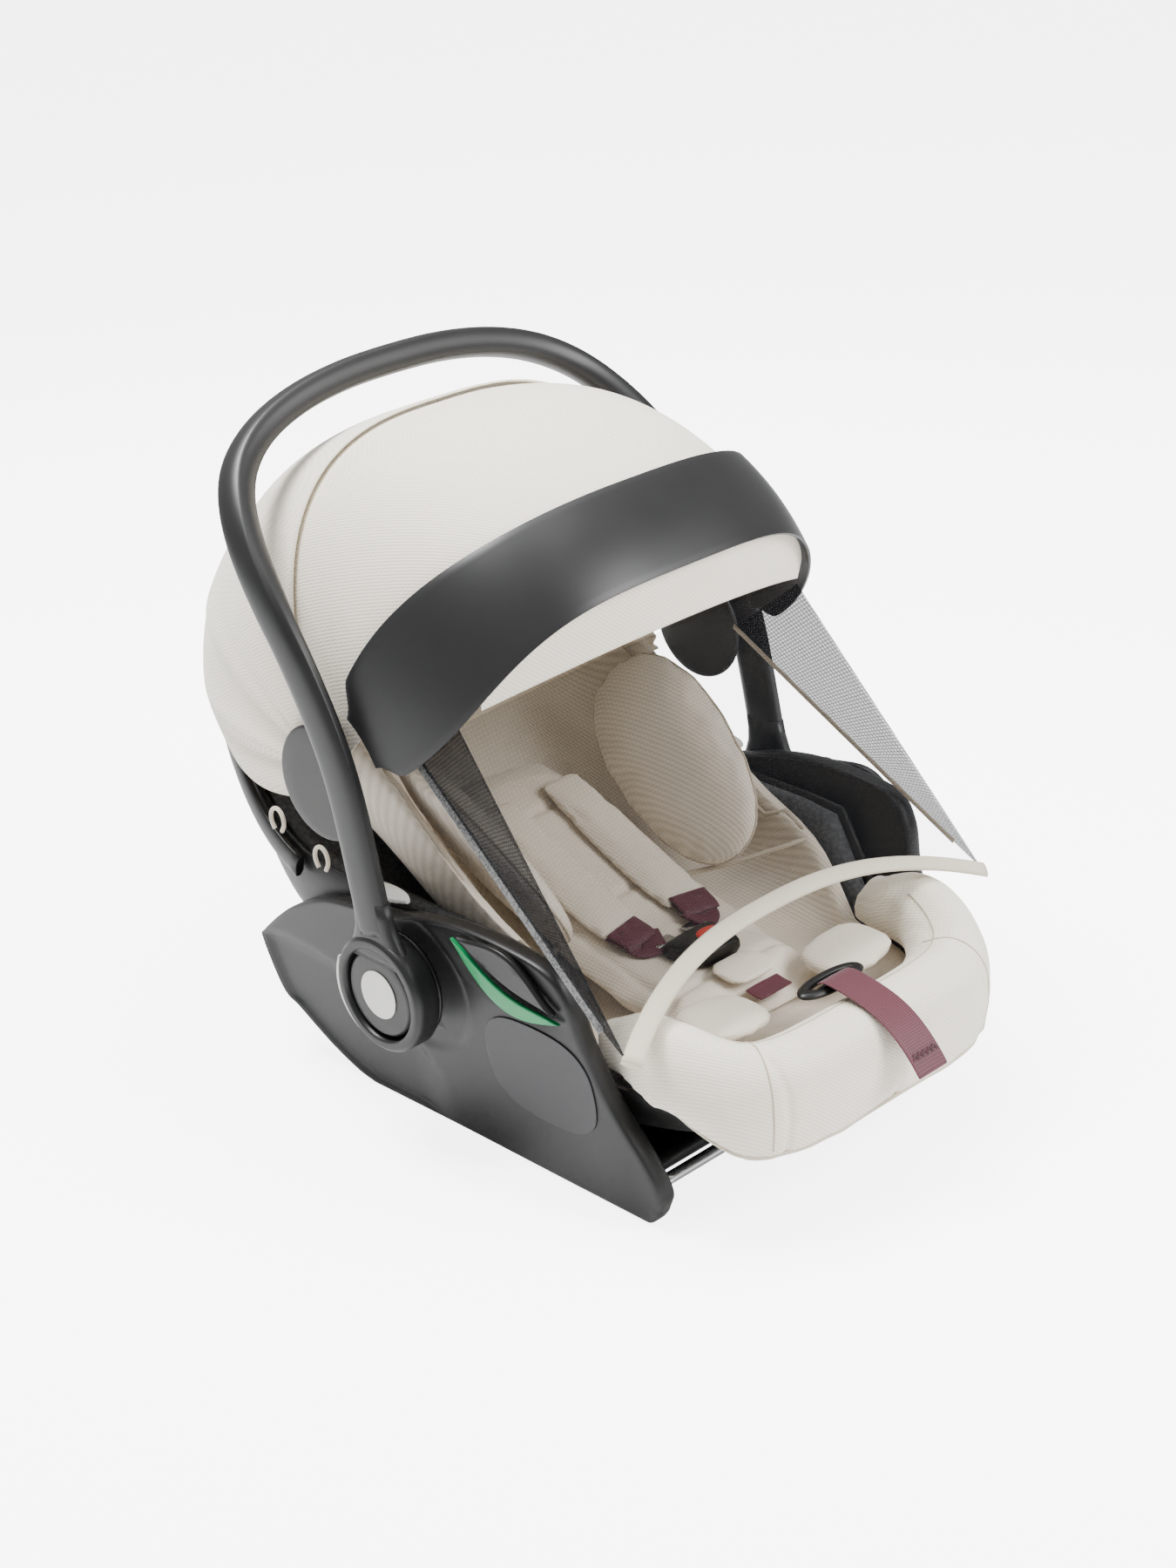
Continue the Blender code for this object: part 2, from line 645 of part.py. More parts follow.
# ---- padding ----
def pad(name, centre, along, across, mat, steps=8, count=16, taper=0.0, power=2.3, rise=1.0):
    """A soft domed pad: along and across are half-axis vectors, its thickness is their normal times `rise`."""
    centre, along, across = (np.array(v, float) for v in (centre, along, across))
    normal = np.cross(along, across)
    normal = normal / np.linalg.norm(normal) * rise
    rings = []
    for s in range(steps):
        v = math.pi * (0.06 + 0.88 * s / (steps - 1))
        size, height = math.sin(v) ** (2 / 3.2), spow(math.cos(v), 2 / 3.2)
        ring = []
        for i in range(count):
            a = 2 * math.pi * i / count
            c, d = spow(math.cos(a), 2 / power), spow(math.sin(a), 2 / power)
            ring.append(centre + along * c * size + across * d * size * (1 - taper * c) + normal * height)
        rings.append(ring)
    return loft(name, rings, mat)


def back_tilt(y):
    slope = (seat_floor(y + 0.004) - seat_floor(y - 0.004)) / 0.008
    return np.array([0.0, -slope, 1.0]) / math.hypot(slope, 1.0)


def back_point(x, y, lift):
    """A point `lift` out from the padded floor of the bucket, square to it."""
    return np.array([x, y, seat_floor(y) + SEAT_LAYERS]) + back_tilt(y) * (lift + SEAT_CROWN)


def slab(name, stations, mat, power=3.0, sides=16):
    """A soft slab along Y: stations are (y, half width, thickness, lift off the floor)."""
    rings = []
    for y, half, thick, lift in stations:
        base = back_point(0, y, lift)
        ring = []
        for i in range(sides):
            a = 2 * math.pi * (i + 0.5) / sides
            ring.append(base + np.array([half * spow(math.cos(a), 2 / power), 0, 0])
                        + back_tilt(y) * thick * (0.5 + 0.5 * spow(math.sin(a), 2 / power)))
        rings.append(ring)
    return loft(name, rings, mat)


def make_padding():
    slab("newborn_insert", [(-0.205, 0.040, 0.004, 0.000), (-0.198, 0.066, 0.014, 0.000),
                            (-0.160, 0.084, 0.020, 0.000), (-0.110, 0.088, 0.022, 0.001),
                            (-0.050, 0.088, 0.024, 0.003), (0.010, 0.086, 0.024, 0.004),
                            (0.080, 0.080, 0.022, 0.004), (0.130, 0.070, 0.016, 0.004),
                            (0.140, 0.050, 0.004, 0.006)], BEIGE)
    for side in (-1, 1):
        hand = mirrored(side)
        pad("wing_pad_" + hand, (side * 0.108, 0.004, 0.212), (side * -0.012, -0.084, -0.060),
            (side * 0.030, -0.030, 0.040), BEIGE, taper=0.08, rise=0.016)
        run = [back_point(side * 0.036, y, 0.0375) for y in (0.098, 0.070, 0.030, -0.010, -0.050, -0.062)]
        sizes = [(0.020, 0.0030), (0.0255, 0.0065), (0.0265, 0.0070), (0.0270, 0.0070), (0.0255, 0.0060),
                 (0.022, 0.0030)]
        sweep("shoulder_pad_" + hand, run, sizes, BEIGE, normal=(0, 0.35, 0.9), sides=12, power=3.2)
        strap = [back_point(side * 0.034, y, 0.0350) for y in (-0.0650, -0.078, -0.090)]
        sweep("shoulder_strap_" + hand, strap, (0.0190, 0.0009), PLUM, normal=(0, 0.3, 0.9), sides=8, power=5)
        tongue = [back_point(side * 0.018, y, 0.0350) for y in (-0.0925, -0.1040)]
        sweep("buckle_tongue_" + hand, tongue, (0.0110, 0.0014), STEEL, normal=(0, 0.2, 0.95), sides=8, power=4)


def make_buckle():
    body = [back_point(0, y, 0.0335) for y in (-0.1055, -0.108, -0.125, -0.142, -0.146)]
    sizes = [(0.026, 0.006), (0.0300, 0.0085), (0.0280, 0.0095), (0.0230, 0.0085), (0.0200, 0.006)]
    sweep("buckle_body", body, sizes, BLACK, normal=(0, 0.1, 1), sides=16, power=3.6)
    top = back_point(0, -0.1310, 0.0474)
    pad("buckle_button", top, (0.0125, 0, 0), (0, 0.0085, 0.0), RED, steps=6, rise=0.0018)
    strap = [back_point(0, y, 0.0160 + lift) for y, lift in ((-0.188, 0.004), (-0.196, 0.001), (-0.204, 0.0))]
    sweep("crotch_strap", strap, (0.0185, 0.0009), PLUM, normal=(0, 0.1, 1), sides=8, power=5)
    pad("crotch_pad", back_point(0, -0.168, 0.0290), (0.027, 0.0, 0.0), (0.0, 0.0175, 0.001), BEIGE, steps=6,
        rise=0.0050, power=3.0)
    for side in (-1, 1):
        pad("leg_pad_" + mirrored(side), back_point(side * 0.070, -0.214, 0.0245), (side * 0.030, 0.0, 0.004),
            (0.0, 0.026, 0.001), BEIGE, steps=6, rise=0.0080, power=3.0)


def make_adjuster():
    y, z = -0.2555, 0.1395
    angles = np.linspace(0, 2 * math.pi, 28, endpoint=False)

    def oval(half_x, half_y, height):
        return [(half_x * spow(math.cos(a), 0.9), y + half_y * math.sin(a), z + height) for a in angles]

    profile = [oval(0.034, 0.0125, 0.0), oval(0.035, 0.0135, 0.0025), oval(0.032, 0.0110, 0.0045),
               oval(0.024, 0.0060, 0.0045), oval(0.023, 0.0050, 0.0)]
    loft_loop("adjuster_bezel", profile, BLACK)
    path = [(0.0, -0.2560, 0.1450), (0.0, -0.262, 0.1490), (0.0, -0.280, 0.1470), (0.0, -0.304, 0.1420),
            (0.0, -0.322, 0.1340), (0.0, -0.338, 0.1210), (0.0, -0.350, 0.1070), (0.0, -0.354, 0.1010)]
    sweep("adjuster_strap", path, (0.0165, 0.0010), PLUM, normal=(0, -0.4, 0.9), sides=8, power=5)
    pad("adjuster_lever", (0, -0.2555, 0.1375), (0.0190, 0, 0), (0, 0.0035, 0), BLACK, steps=6, rise=0.0025)


make_bucket()
make_rim_trim()
make_bolster()
make_runners()
make_base_tray()
make_latch_bar()
make_belt_guides()
make_side_trim()
make_handle()
make_hubs()
make_hub_triggers()
make_canopy()
make_front_strip()
make_veil()
make_loops()
make_padding()
make_buckle()
make_adjuster()
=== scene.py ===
# %% [markdown]
# # Infant car seat
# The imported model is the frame: every piece sits in metres where its solid sits, and rides on the
# body that carries it. This lesson gives each piece its finished surface, one cell at a time.

# %% Load the frame
import json
import math

import bmesh
import bpy
import numpy as np
from mathutils import Matrix, Vector
from mathutils.bvhtree import BVHTree

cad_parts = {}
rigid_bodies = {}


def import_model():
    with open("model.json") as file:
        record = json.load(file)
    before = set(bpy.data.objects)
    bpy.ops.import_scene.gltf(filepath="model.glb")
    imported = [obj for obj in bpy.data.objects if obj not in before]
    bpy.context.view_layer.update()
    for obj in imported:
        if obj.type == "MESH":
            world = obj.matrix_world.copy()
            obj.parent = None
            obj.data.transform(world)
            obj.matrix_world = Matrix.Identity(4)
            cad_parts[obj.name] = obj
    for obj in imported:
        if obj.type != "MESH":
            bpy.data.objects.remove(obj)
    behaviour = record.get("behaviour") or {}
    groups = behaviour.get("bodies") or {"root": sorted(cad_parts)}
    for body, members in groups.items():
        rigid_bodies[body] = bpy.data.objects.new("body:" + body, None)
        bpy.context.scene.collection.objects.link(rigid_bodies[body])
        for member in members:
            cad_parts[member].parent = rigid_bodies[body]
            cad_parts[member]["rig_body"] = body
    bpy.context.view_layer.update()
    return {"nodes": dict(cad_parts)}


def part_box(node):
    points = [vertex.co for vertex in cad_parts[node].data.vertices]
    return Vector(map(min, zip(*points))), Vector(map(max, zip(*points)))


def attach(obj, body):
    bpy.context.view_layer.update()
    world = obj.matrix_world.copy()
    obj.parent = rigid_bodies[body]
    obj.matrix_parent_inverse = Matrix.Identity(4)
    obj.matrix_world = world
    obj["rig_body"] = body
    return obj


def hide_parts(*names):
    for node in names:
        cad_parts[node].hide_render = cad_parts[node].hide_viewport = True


HANDS = ((-1, "left"), (1, "right"))
TURN = 2 * math.pi

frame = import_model()
NODES = frame["nodes"]

# %% [markdown]
# A colour is written as the hex value a maker would pick from a swatch. Shaders work in linear
# light, so one function turns the hex value to linear. A second small function adds a node to a
# tree with its settings and its links, and every finish below is built from those two.


# %% Colour and node helpers
def linear(code):
    parts = [int(code[i:i + 2], 16) / 255 for i in (1, 3, 5)]
    return tuple(c / 12.92 if c <= 0.04045 else ((c + 0.055) / 1.055) ** 2.4 for c in parts) + (1.0,)


def add_node(tree, kind, values=(), links=(), **settings):
    """A node with its properties, its socket values and the (socket, source socket) links into it."""
    node = tree.nodes.new(kind)
    for key, value in settings.items():
        setattr(node, key, value)
    for key, value in dict(values).items():
        node.inputs[key].default_value = value
    for key, source in links:
        tree.links.new(source, node.inputs[key])
    return node


def start_finish(name, rough, metallic=0.0, ior=1.5, sheen=0.0, coat=0.0):
    mat = bpy.data.materials.new(name)
    mat.use_nodes = True
    shader = mat.node_tree.nodes["Principled BSDF"]
    shader.inputs["Roughness"].default_value = rough
    shader.inputs["Metallic"].default_value = metallic
    shader.inputs["IOR"].default_value = ior
    shader.inputs["Sheen Weight"].default_value = sheen
    shader.inputs["Sheen Roughness"].default_value = 0.45
    shader.inputs["Coat Weight"].default_value = coat
    return mat, mat.node_tree, shader


def join_bump(tree, shader, height, strength, distance):
    bump = add_node(tree, "ShaderNodeBump", {"Strength": strength, "Distance": distance}, [("Height", height)])
    tree.links.new(bump.outputs["Normal"], shader.inputs["Normal"])
    return bump


def ramp_between(tree, factor, low, high, at=(0.0, 1.0)):
    ramp = add_node(tree, "ShaderNodeValToRGB", links=[("Fac", factor)])
    ramp.color_ramp.elements[0].position, ramp.color_ramp.elements[1].position = at
    ramp.color_ramp.elements[0].color = linear(low)
    ramp.color_ramp.elements[1].color = linear(high)
    return ramp.outputs["Color"]


# %% [markdown]
# The handle, side panels and visor of the real seat are injection-moulded polypropylene with a
# fine spark-eroded texture. The texture's grain is about 0.3 mm, which breaks the highlight into a
# satin band. It is drawn at 0.8 mm so that it shows. Large, faint changes in tone stand for the
# flow of the moulding and for handling.


# %% Moulded plastics
def moulded_plastic(name, code, shade, rough, grain_mm=0.8, grain=0.12, coat=0.0):
    mat, tree, shader = start_finish(name, rough, coat=coat)
    shader.inputs["Specular IOR Level"].default_value = 0.38
    place = add_node(tree, "ShaderNodeTexCoord").outputs["Object"]
    fine = add_node(tree, "ShaderNodeTexNoise", {"Scale": 1000 / grain_mm, "Detail": 3.0, "Roughness": 0.6},
                    [("Vector", place)]).outputs["Fac"]
    wide = add_node(tree, "ShaderNodeTexNoise", {"Scale": 9.0, "Detail": 2.0}, [("Vector", place)]).outputs["Fac"]
    tree.links.new(ramp_between(tree, wide, shade, code, (0.30, 0.62)), shader.inputs["Base Color"])
    gloss = add_node(tree, "ShaderNodeMapRange", {"To Min": rough - 0.05, "To Max": rough + 0.07},
                     [("Value", wide)]).outputs["Result"]
    tree.links.new(gloss, shader.inputs["Roughness"])
    join_bump(tree, shader, fine, grain, 0.0002)
    return mat


GRAPHITE = moulded_plastic("graphite_polypropylene_satin", "#1e1e1f", "#171718", 0.36)
PANEL_GREY = moulded_plastic("graphite_polypropylene_panel", "#2b2a2a", "#222222", 0.38)
BLACK = moulded_plastic("black_polypropylene_moulded", "#121212", "#0e0e0e", 0.44)
SOFT_BLACK = moulded_plastic("black_nylon_moulded", "#0f0f0f", "#0b0b0b", 0.36)
PALE = moulded_plastic("pale_grey_abs_satin", "#d9d8d2", "#cfcec8", 0.38, grain=0.05)
GREEN = moulded_plastic("green_abs_gloss", "#008a4e", "#007d45", 0.45, grain=0.04, coat=0.25)
RED = moulded_plastic("coral_abs_gloss", "#d8382c", "#c92f24", 0.32, grain=0.04, coat=0.2)


def paint_shade_on_panel(mat, dark, light):
    """Painted shade on the panel: deep black on the upper part in front of the hub and at the front nose, greyer
    elsewhere.
    """
    tree = mat.node_tree
    shader = tree.nodes["Principled BSDF"]
    place = add_node(tree, "ShaderNodeTexCoord").outputs["Object"]
    axes = add_node(tree, "ShaderNodeSeparateXYZ", links=[(0, place)]).outputs
    fore, tall, nose = [
        add_node(tree, "ShaderNodeMapRange", {"From Min": start, "From Max": end, "To Min": 0.0, "To Max": 1.0},
                 [("Value", axes[axis])]).outputs["Result"]
        for axis, start, end in (("Y", 0.035, -0.03), ("Z", 0.128, 0.156), ("Y", -0.185, -0.215))]
    top = add_node(tree, "ShaderNodeMath", links=[(0, fore), (1, tall)], operation="MULTIPLY").outputs[0]
    deep = add_node(tree, "ShaderNodeMath", links=[(0, top), (1, nose)], operation="MAXIMUM").outputs[0]
    tree.links.new(ramp_between(tree, deep, light, dark), shader.inputs["Base Color"])
    return mat


# Painted shade on the side panel: the upper part in front of the hub and the front nose are deep black, the rest
# dark grey.
PANEL = paint_shade_on_panel(moulded_plastic("graphite_polypropylene_side_panel_painted_shade", "#2f2f30", "#262627", 0.42), "#0a0a0b",
                        "#222223")
LABEL = moulded_plastic("matt_film_label", "#353537", "#2f2f31", 0.46, grain=0.03)
print("plastics:", len(bpy.data.materials))

# %% [markdown]
# The carrier bar and the harness tongues are bright zinc-plated steel, drawn and then polished.
# The drawing leaves faint lines along the length, seen as a slightly stretched highlight. The
# bucket's crash liner is expanded polypropylene, whose fused beads are 3 to 4 mm across.

# %% Steel and bead foam
STEEL, tree, shader = start_finish("steel_zinc_plated", 0.22, metallic=1.0)
place = add_node(tree, "ShaderNodeTexCoord").outputs["Object"]
drawn = add_node(tree, "ShaderNodeMapping", {"Scale": (40.0, 1400.0, 1400.0)}, [("Vector", place)]).outputs[0]
lines = add_node(tree, "ShaderNodeTexNoise", {"Scale": 1.0, "Detail": 2.0}, [("Vector", drawn)]).outputs["Fac"]
tree.links.new(ramp_between(tree, lines, "#a9abae", "#c6c8ca"), shader.inputs["Base Color"])
join_bump(tree, shader, lines, 0.08, 0.0001)

FOAM, tree, shader = start_finish("expanded_polypropylene_beads", 0.85)
place = add_node(tree, "ShaderNodeTexCoord").outputs["Object"]
beads = add_node(tree, "ShaderNodeTexVoronoi", {"Scale": 280.0}, [("Vector", place)]).outputs["Distance"]
tree.links.new(ramp_between(tree, beads, "#4a4b4d", "#3a3b3d", (0.2, 0.75)), shader.inputs["Base Color"])
join_bump(tree, shader, beads, 0.5, 0.0006)

# %% [markdown]
# The hood and the bolster are sewn from a cream jersey with a diagonal rib. The padding inside is
# the same knit in a warmer, greyer beige. Ribs are about 1 mm apart on the real cloth. They are
# drawn at 2.4 mm so that they show. The rib is both a small height and a small change of tone,
# because its valleys are shaded. Two crossed sets of bands are laid in space, not on a UV map, so
# that the weave survives a remesh. Brushed yarn ends give cloth a soft rim, which is sheen.


# %% Ribbed jersey
def ribbed_jersey(name, light, dark, rib_mm=2.4, first=(0.62, 0.30, 0.72), second=(-0.62, 0.45, 0.64),
                  depth=0.40, sheen=0.25):
    mat, tree, shader = start_finish(name, 0.88, sheen=sheen)
    place = add_node(tree, "ShaderNodeTexCoord").outputs["Object"]
    wobble = add_node(tree, "ShaderNodeTexNoise", {"Scale": 38.0, "Detail": 2.0},
                      [("Vector", place)]).outputs["Fac"]
    bands = []
    for direction, turns in ((first, 1000 / rib_mm), (second, 1000 / (rib_mm * 0.8))):
        along = add_node(tree, "ShaderNodeVectorMath", {1: tuple(c * turns * 2 * math.pi for c in direction)},
                         [(0, place)], operation="DOT_PRODUCT").outputs["Value"]
        moved = add_node(tree, "ShaderNodeMath", {1: 1.6}, [(0, wobble)], operation="MULTIPLY").outputs[0]
        shifted = add_node(tree, "ShaderNodeMath", links=[(0, along), (1, moved)], operation="ADD").outputs[0]
        wave = add_node(tree, "ShaderNodeMath", links=[(0, shifted)], operation="SINE").outputs[0]
        bands.append(add_node(tree, "ShaderNodeMath", {1: 0.5, 2: 0.5}, [(0, wave)],
                              operation="MULTIPLY_ADD").outputs[0])
    knit = add_node(tree, "ShaderNodeMath", {1: 0.35}, [(0, bands[1])], operation="MULTIPLY").outputs[0]
    knit = add_node(tree, "ShaderNodeMath", {1: 0.65}, [(0, bands[0]), (2, knit)],
                    operation="MULTIPLY_ADD").outputs[0]
    broad = add_node(tree, "ShaderNodeTexNoise", {"Scale": 7.0, "Detail": 3.0}, [("Vector", place)]).outputs["Fac"]
    tone = add_node(tree, "ShaderNodeMath", {1: 0.35}, [(0, broad)], operation="MULTIPLY").outputs[0]
    tone = add_node(tree, "ShaderNodeMath", {1: 0.75}, [(0, knit), (2, tone)], operation="MULTIPLY_ADD").outputs[0]
    tree.links.new(ramp_between(tree, tone, dark, light, (0.05, 0.80)), shader.inputs["Base Color"])
    join_bump(tree, shader, knit, depth, 0.0005)
    return mat


CREAM = ribbed_jersey("cream_ribbed_jersey", "#ece5d6", "#d3c9b6")
BEIGE = ribbed_jersey("beige_ribbed_jersey", "#e4dacb", "#c6baa8", first=(0.95, 0.12, 0.16),
                      second=(0.20, 0.60, 0.78))
SEAM = ribbed_jersey("beige_seam_binding", "#bcb09e", "#a2957f", rib_mm=1.8, depth=0.25)
CREAM_SEAM = ribbed_jersey("cream_seam_binding", "#cfc6b4", "#b8ae9b", rib_mm=1.8, depth=0.25)

# %% [markdown]
# Harness webbing is woven polyester: flat, tight and slightly glossy along its warp. Its picks are
# about 1.2 mm apart. The veil is a warp-knit polyester net. Its holes are under 1 mm, far too fine
# to draw, so its threads are drawn 3 mm apart and most of its cover is a constant alpha. Where the net
# folds back at the sides it lies in two layers and looks denser.

# %% Webbing, tape and net
PLUM, tree, shader = start_finish("plum_polyester_webbing", 0.55, sheen=0.2)
place = add_node(tree, "ShaderNodeTexCoord").outputs["Object"]
picks = add_node(tree, "ShaderNodeTexWave", {"Scale": 1000 / 1.6 / 6.283 * 2, "Distortion": 0.4},
                 [("Vector", place)], bands_direction="Y").outputs["Fac"]
warps = add_node(tree, "ShaderNodeTexWave", {"Scale": 1000 / 2.4 / 6.283 * 2, "Distortion": 0.3},
                 [("Vector", place)], bands_direction="X").outputs["Fac"]
weave = add_node(tree, "ShaderNodeMath", links=[(0, picks), (1, warps)], operation="MULTIPLY").outputs[0]
tree.links.new(ramp_between(tree, weave, "#3a0f1b", "#6e2438", (0.0, 0.8)), shader.inputs["Base Color"])
join_bump(tree, shader, weave, 0.5, 0.0004)

THREAD, tree, shader = start_finish("dark_polyester_thread", 0.6)
place = add_node(tree, "ShaderNodeTexCoord").outputs["Object"]
twist = add_node(tree, "ShaderNodeTexNoise", {"Scale": 900.0}, [("Vector", place)]).outputs["Fac"]
tree.links.new(ramp_between(tree, twist, "#3a2228", "#4a2e36"), shader.inputs["Base Color"])

MELANGE, tree, shader = start_finish("charcoal_melange_tape", 0.8, sheen=0.2)
place = add_node(tree, "ShaderNodeTexCoord").outputs["Object"]
flecks = add_node(tree, "ShaderNodeTexNoise", {"Scale": 620.0, "Detail": 3.0}, [("Vector", place)]).outputs["Fac"]
tree.links.new(ramp_between(tree, flecks, "#46474a", "#8f8f8d", (0.35, 0.7)), shader.inputs["Base Color"])
join_bump(tree, shader, flecks, 0.3, 0.0003)


def knitted_net(name, cover, code="#17181a"):
    mat, tree, shader = start_finish(name, 1.0)
    shader.inputs["Specular IOR Level"].default_value = 0.05
    place = add_node(tree, "ShaderNodeTexCoord").outputs["UV"]
    threads = []
    for bands in ("X", "Y"):
        threads.append(add_node(tree, "ShaderNodeTexWave", {"Scale": 0.3142 / 0.0030, "Distortion": 0.0},
                                [("Vector", place)], bands_direction=bands).outputs["Fac"])
    top = add_node(tree, "ShaderNodeMath", links=[(0, threads[0]), (1, threads[1])], operation="MAXIMUM").outputs[0]
    alpha = add_node(tree, "ShaderNodeMapRange",
                     {"From Min": 0.55, "From Max": 1.0, "To Min": cover * 0.88, "To Max": min(1.0, cover * 1.25)},
                     [("Value", top)]).outputs["Result"]
    tree.links.new(alpha, shader.inputs["Alpha"])
    tree.links.new(ramp_between(tree, top, code, "#2a2b2e"), shader.inputs["Base Color"])
    return mat


NET = knitted_net("charcoal_warp_knit_net", 0.13)
NET_SIDE = knitted_net("charcoal_warp_knit_net_doubled", 0.62, "#0c0c0d")
print("finishes:", [m.name for m in bpy.data.materials])

# %% [markdown]
# A solid from the frame is faceted. For a moulded piece its shape is right but its curves need to
# be fine. The solid is copied, its split corners are welded, its triangles joined to quads, and
# edges that turn sharply are creased, so that subdivision rounds the curves and keeps the edges.


# %% Finish a moulded piece
def new_piece(name, mesh, material, body, stands_for=()):
    mesh.materials.clear()
    mesh.materials.append(material)
    obj = bpy.data.objects.new(name, mesh)
    bpy.context.scene.collection.objects.link(obj)
    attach(obj, body)
    if stands_for:
        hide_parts(*stands_for)
    return obj


def welded_copy(node, crease_from=32.0):
    mesh = NODES[node].data.copy()
    mesh.name = node + "_surface"
    bm = bmesh.new()
    bm.from_mesh(mesh)
    bmesh.ops.remove_doubles(bm, verts=bm.verts, dist=0.00002)
    bmesh.ops.join_triangles(bm, faces=bm.faces, angle_face_threshold=math.radians(14),
                             angle_shape_threshold=math.radians(50), cmp_seam=False, cmp_sharp=False,
                             cmp_uvs=False, cmp_vcols=False, cmp_materials=False)
    bmesh.ops.recalc_face_normals(bm, faces=bm.faces)
    crease = bm.edges.layers.float.get("crease_edge") or bm.edges.layers.float.new("crease_edge")
    for edge in bm.edges:
        turn = edge.calc_face_angle(0.0) if len(edge.link_faces) == 2 else 0.0
        edge[crease] = 0.85 if turn > math.radians(crease_from) else 0.0
    for face in bm.faces:
        face.smooth = True
    bm.to_mesh(mesh)
    bm.free()
    return mesh


def moulded(node, material, levels=2, crease_from=32.0):
    body = NODES[node]["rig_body"]
    obj = new_piece(node + "_moulding", welded_copy(node, crease_from), material, body, [node])
    fine = obj.modifiers.new("fine", "SUBSURF")
    fine.levels = fine.render_levels = levels
    return obj


SIDES = ("left", "right")
PLASTIC = {"base_tray": (BLACK, "black_plastic"), "shell_bucket": (BLACK, "black_plastic"),
           "rim_trim": (SOFT_BLACK, "black_plastic"), "handle_bar": (GRAPHITE, "graphite_plastic"),
           "adjuster_bezel": (SOFT_BLACK, "black_plastic"), "adjuster_lever": (SOFT_BLACK, "black_plastic"),
           "foam_liner": (FOAM, "bead_foam"), "latch_bar": (STEEL, "steel"), "canopy_bow": (STEEL, "steel"),
           "label_plate": (LABEL, "graphite_plastic")}
for side in SIDES:
    PLASTIC.update({
        "handle_boss_" + side: (GRAPHITE, "graphite_plastic"),
        "hub_socket_" + side: (SOFT_BLACK, "black_plastic"), "hub_gear_" + side: (SOFT_BLACK, "black_plastic"),
        "hub_button_" + side: (PANEL_GREY, "graphite_plastic"), "hub_badge_" + side: (PALE, "pale_plastic"),
        "hub_trigger_" + side: (PALE, "pale_plastic"), "belt_guide_" + side: (GREEN, "green_plastic"),
        "belt_grip_" + side: (SOFT_BLACK, "black_plastic"), "rim_tab_" + side: (PALE, "pale_plastic"),
        "canopy_pivot_" + side: (PANEL_GREY, "graphite_plastic"), "buckle_tongue_" + side: (STEEL, "steel")})
for node, (finish, slot) in PLASTIC.items():
    moulded(node, finish, levels=1 if node in ("shell_bucket", "foam_liner", "base_tray") else 2)
print("moulded pieces:", len(PLASTIC))

# %% [markdown]
# The two side panels are the largest mouldings. Their outer face isn't flat: below a curved crease
# the wall tucks inwards, and the area in front of the hub is scooped out. The outline is repeated
# from the frame, filled with shrinking rings, and each point of those rings is then pressed in by
# a height rule, so that the relief is a real shape.

# %% Side panels
PANEL_IN, PANEL_THICK, PANEL_LEAN, RIM_Z = 0.1835, 0.017, 0.026, 0.185
PANEL_KNOTS = [(-0.238, 0.012), (-0.244, 0.030), (-0.232, 0.058), (-0.206, 0.098), (-0.188, 0.140),
               (-0.178, 0.178), (-0.160, 0.198), (-0.120, 0.205), (-0.070, 0.205), (-0.025, 0.198),
               (0.010, 0.188), (0.050, 0.182), (0.100, 0.172), (0.150, 0.146), (0.192, 0.112), (0.198, 0.100),
               (0.186, 0.056), (0.168, 0.043), (0.135, 0.020), (0.105, 0.005), (0.085, 0.0)]


def smooth(value):
    t = min(1.0, max(0.0, value))
    return t * t * (3 - 2 * t)


def spow(value, power):
    return math.copysign(abs(value) ** power, value)


def smooth_run(points, steps):
    p = [Vector(q) for q in points]
    p = [2 * p[0] - p[1]] + p + [2 * p[-1] - p[-2]]
    out = []
    for k in range(1, len(p) - 2):
        for s in range(steps):
            t = s / steps
            a, b, c, d = p[k - 1], p[k], p[k + 1], p[k + 2]
            out.append(0.5 * (2 * b + (c - a) * t + (2 * a - 5 * b + 4 * c - d) * t * t
                              + (3 * b - a - 3 * c + d) * t ** 3))
    return out + [p[-2]]


def ring_faces(rings, count, closed=False):
    """Quads between rings of `count` points; `closed` joins the last ring to the first."""
    faces = []
    for k in range(rings if closed else rings - 1):
        n = (k + 1) % rings
        for i in range(count):
            j = (i + 1) % count
            faces.append((k * count + i, k * count + j, n * count + j, n * count + i))
    return faces


def end_caps(rings, count):
    return [tuple(range(count))[::-1], tuple((rings - 1) * count + i for i in range(count))]


def outward_mesh(name, points, faces):
    """A mesh whose faces look outwards; its sides are smooth and its many-sided caps are flat."""
    mesh = bpy.data.meshes.new(name)
    mesh.from_pydata(points, [], faces)
    bm = bmesh.new()
    bm.from_mesh(mesh)
    bmesh.ops.recalc_face_normals(bm, faces=bm.faces)
    bm.to_mesh(mesh)
    bm.free()
    for polygon in mesh.polygons:
        polygon.use_smooth = len(polygon.vertices) < 5
    return mesh


def panel_relief(y, z):
    """How far the outer face is pressed in at a place, in metres."""
    crease = 0.122 - 1.9 * (y - 0.155) ** 2 - 0.25 * max(0.0, 0.03 - y)
    tuck = 0.0050 * smooth((crease - z) / 0.022) * smooth((y + 0.02) / 0.05)
    scoop_y, scoop_z = (y + 0.100) / 0.070, (z - 0.176 - 0.25 * (y + 0.10)) / 0.026
    scoop = 0.0045 * smooth((1.15 - math.hypot(scoop_y, scoop_z)) / 0.5)
    ring = 0.0030 * smooth((0.066 - math.hypot(y, z - 0.135)) / 0.010)
    return max(tuck, scoop, ring)


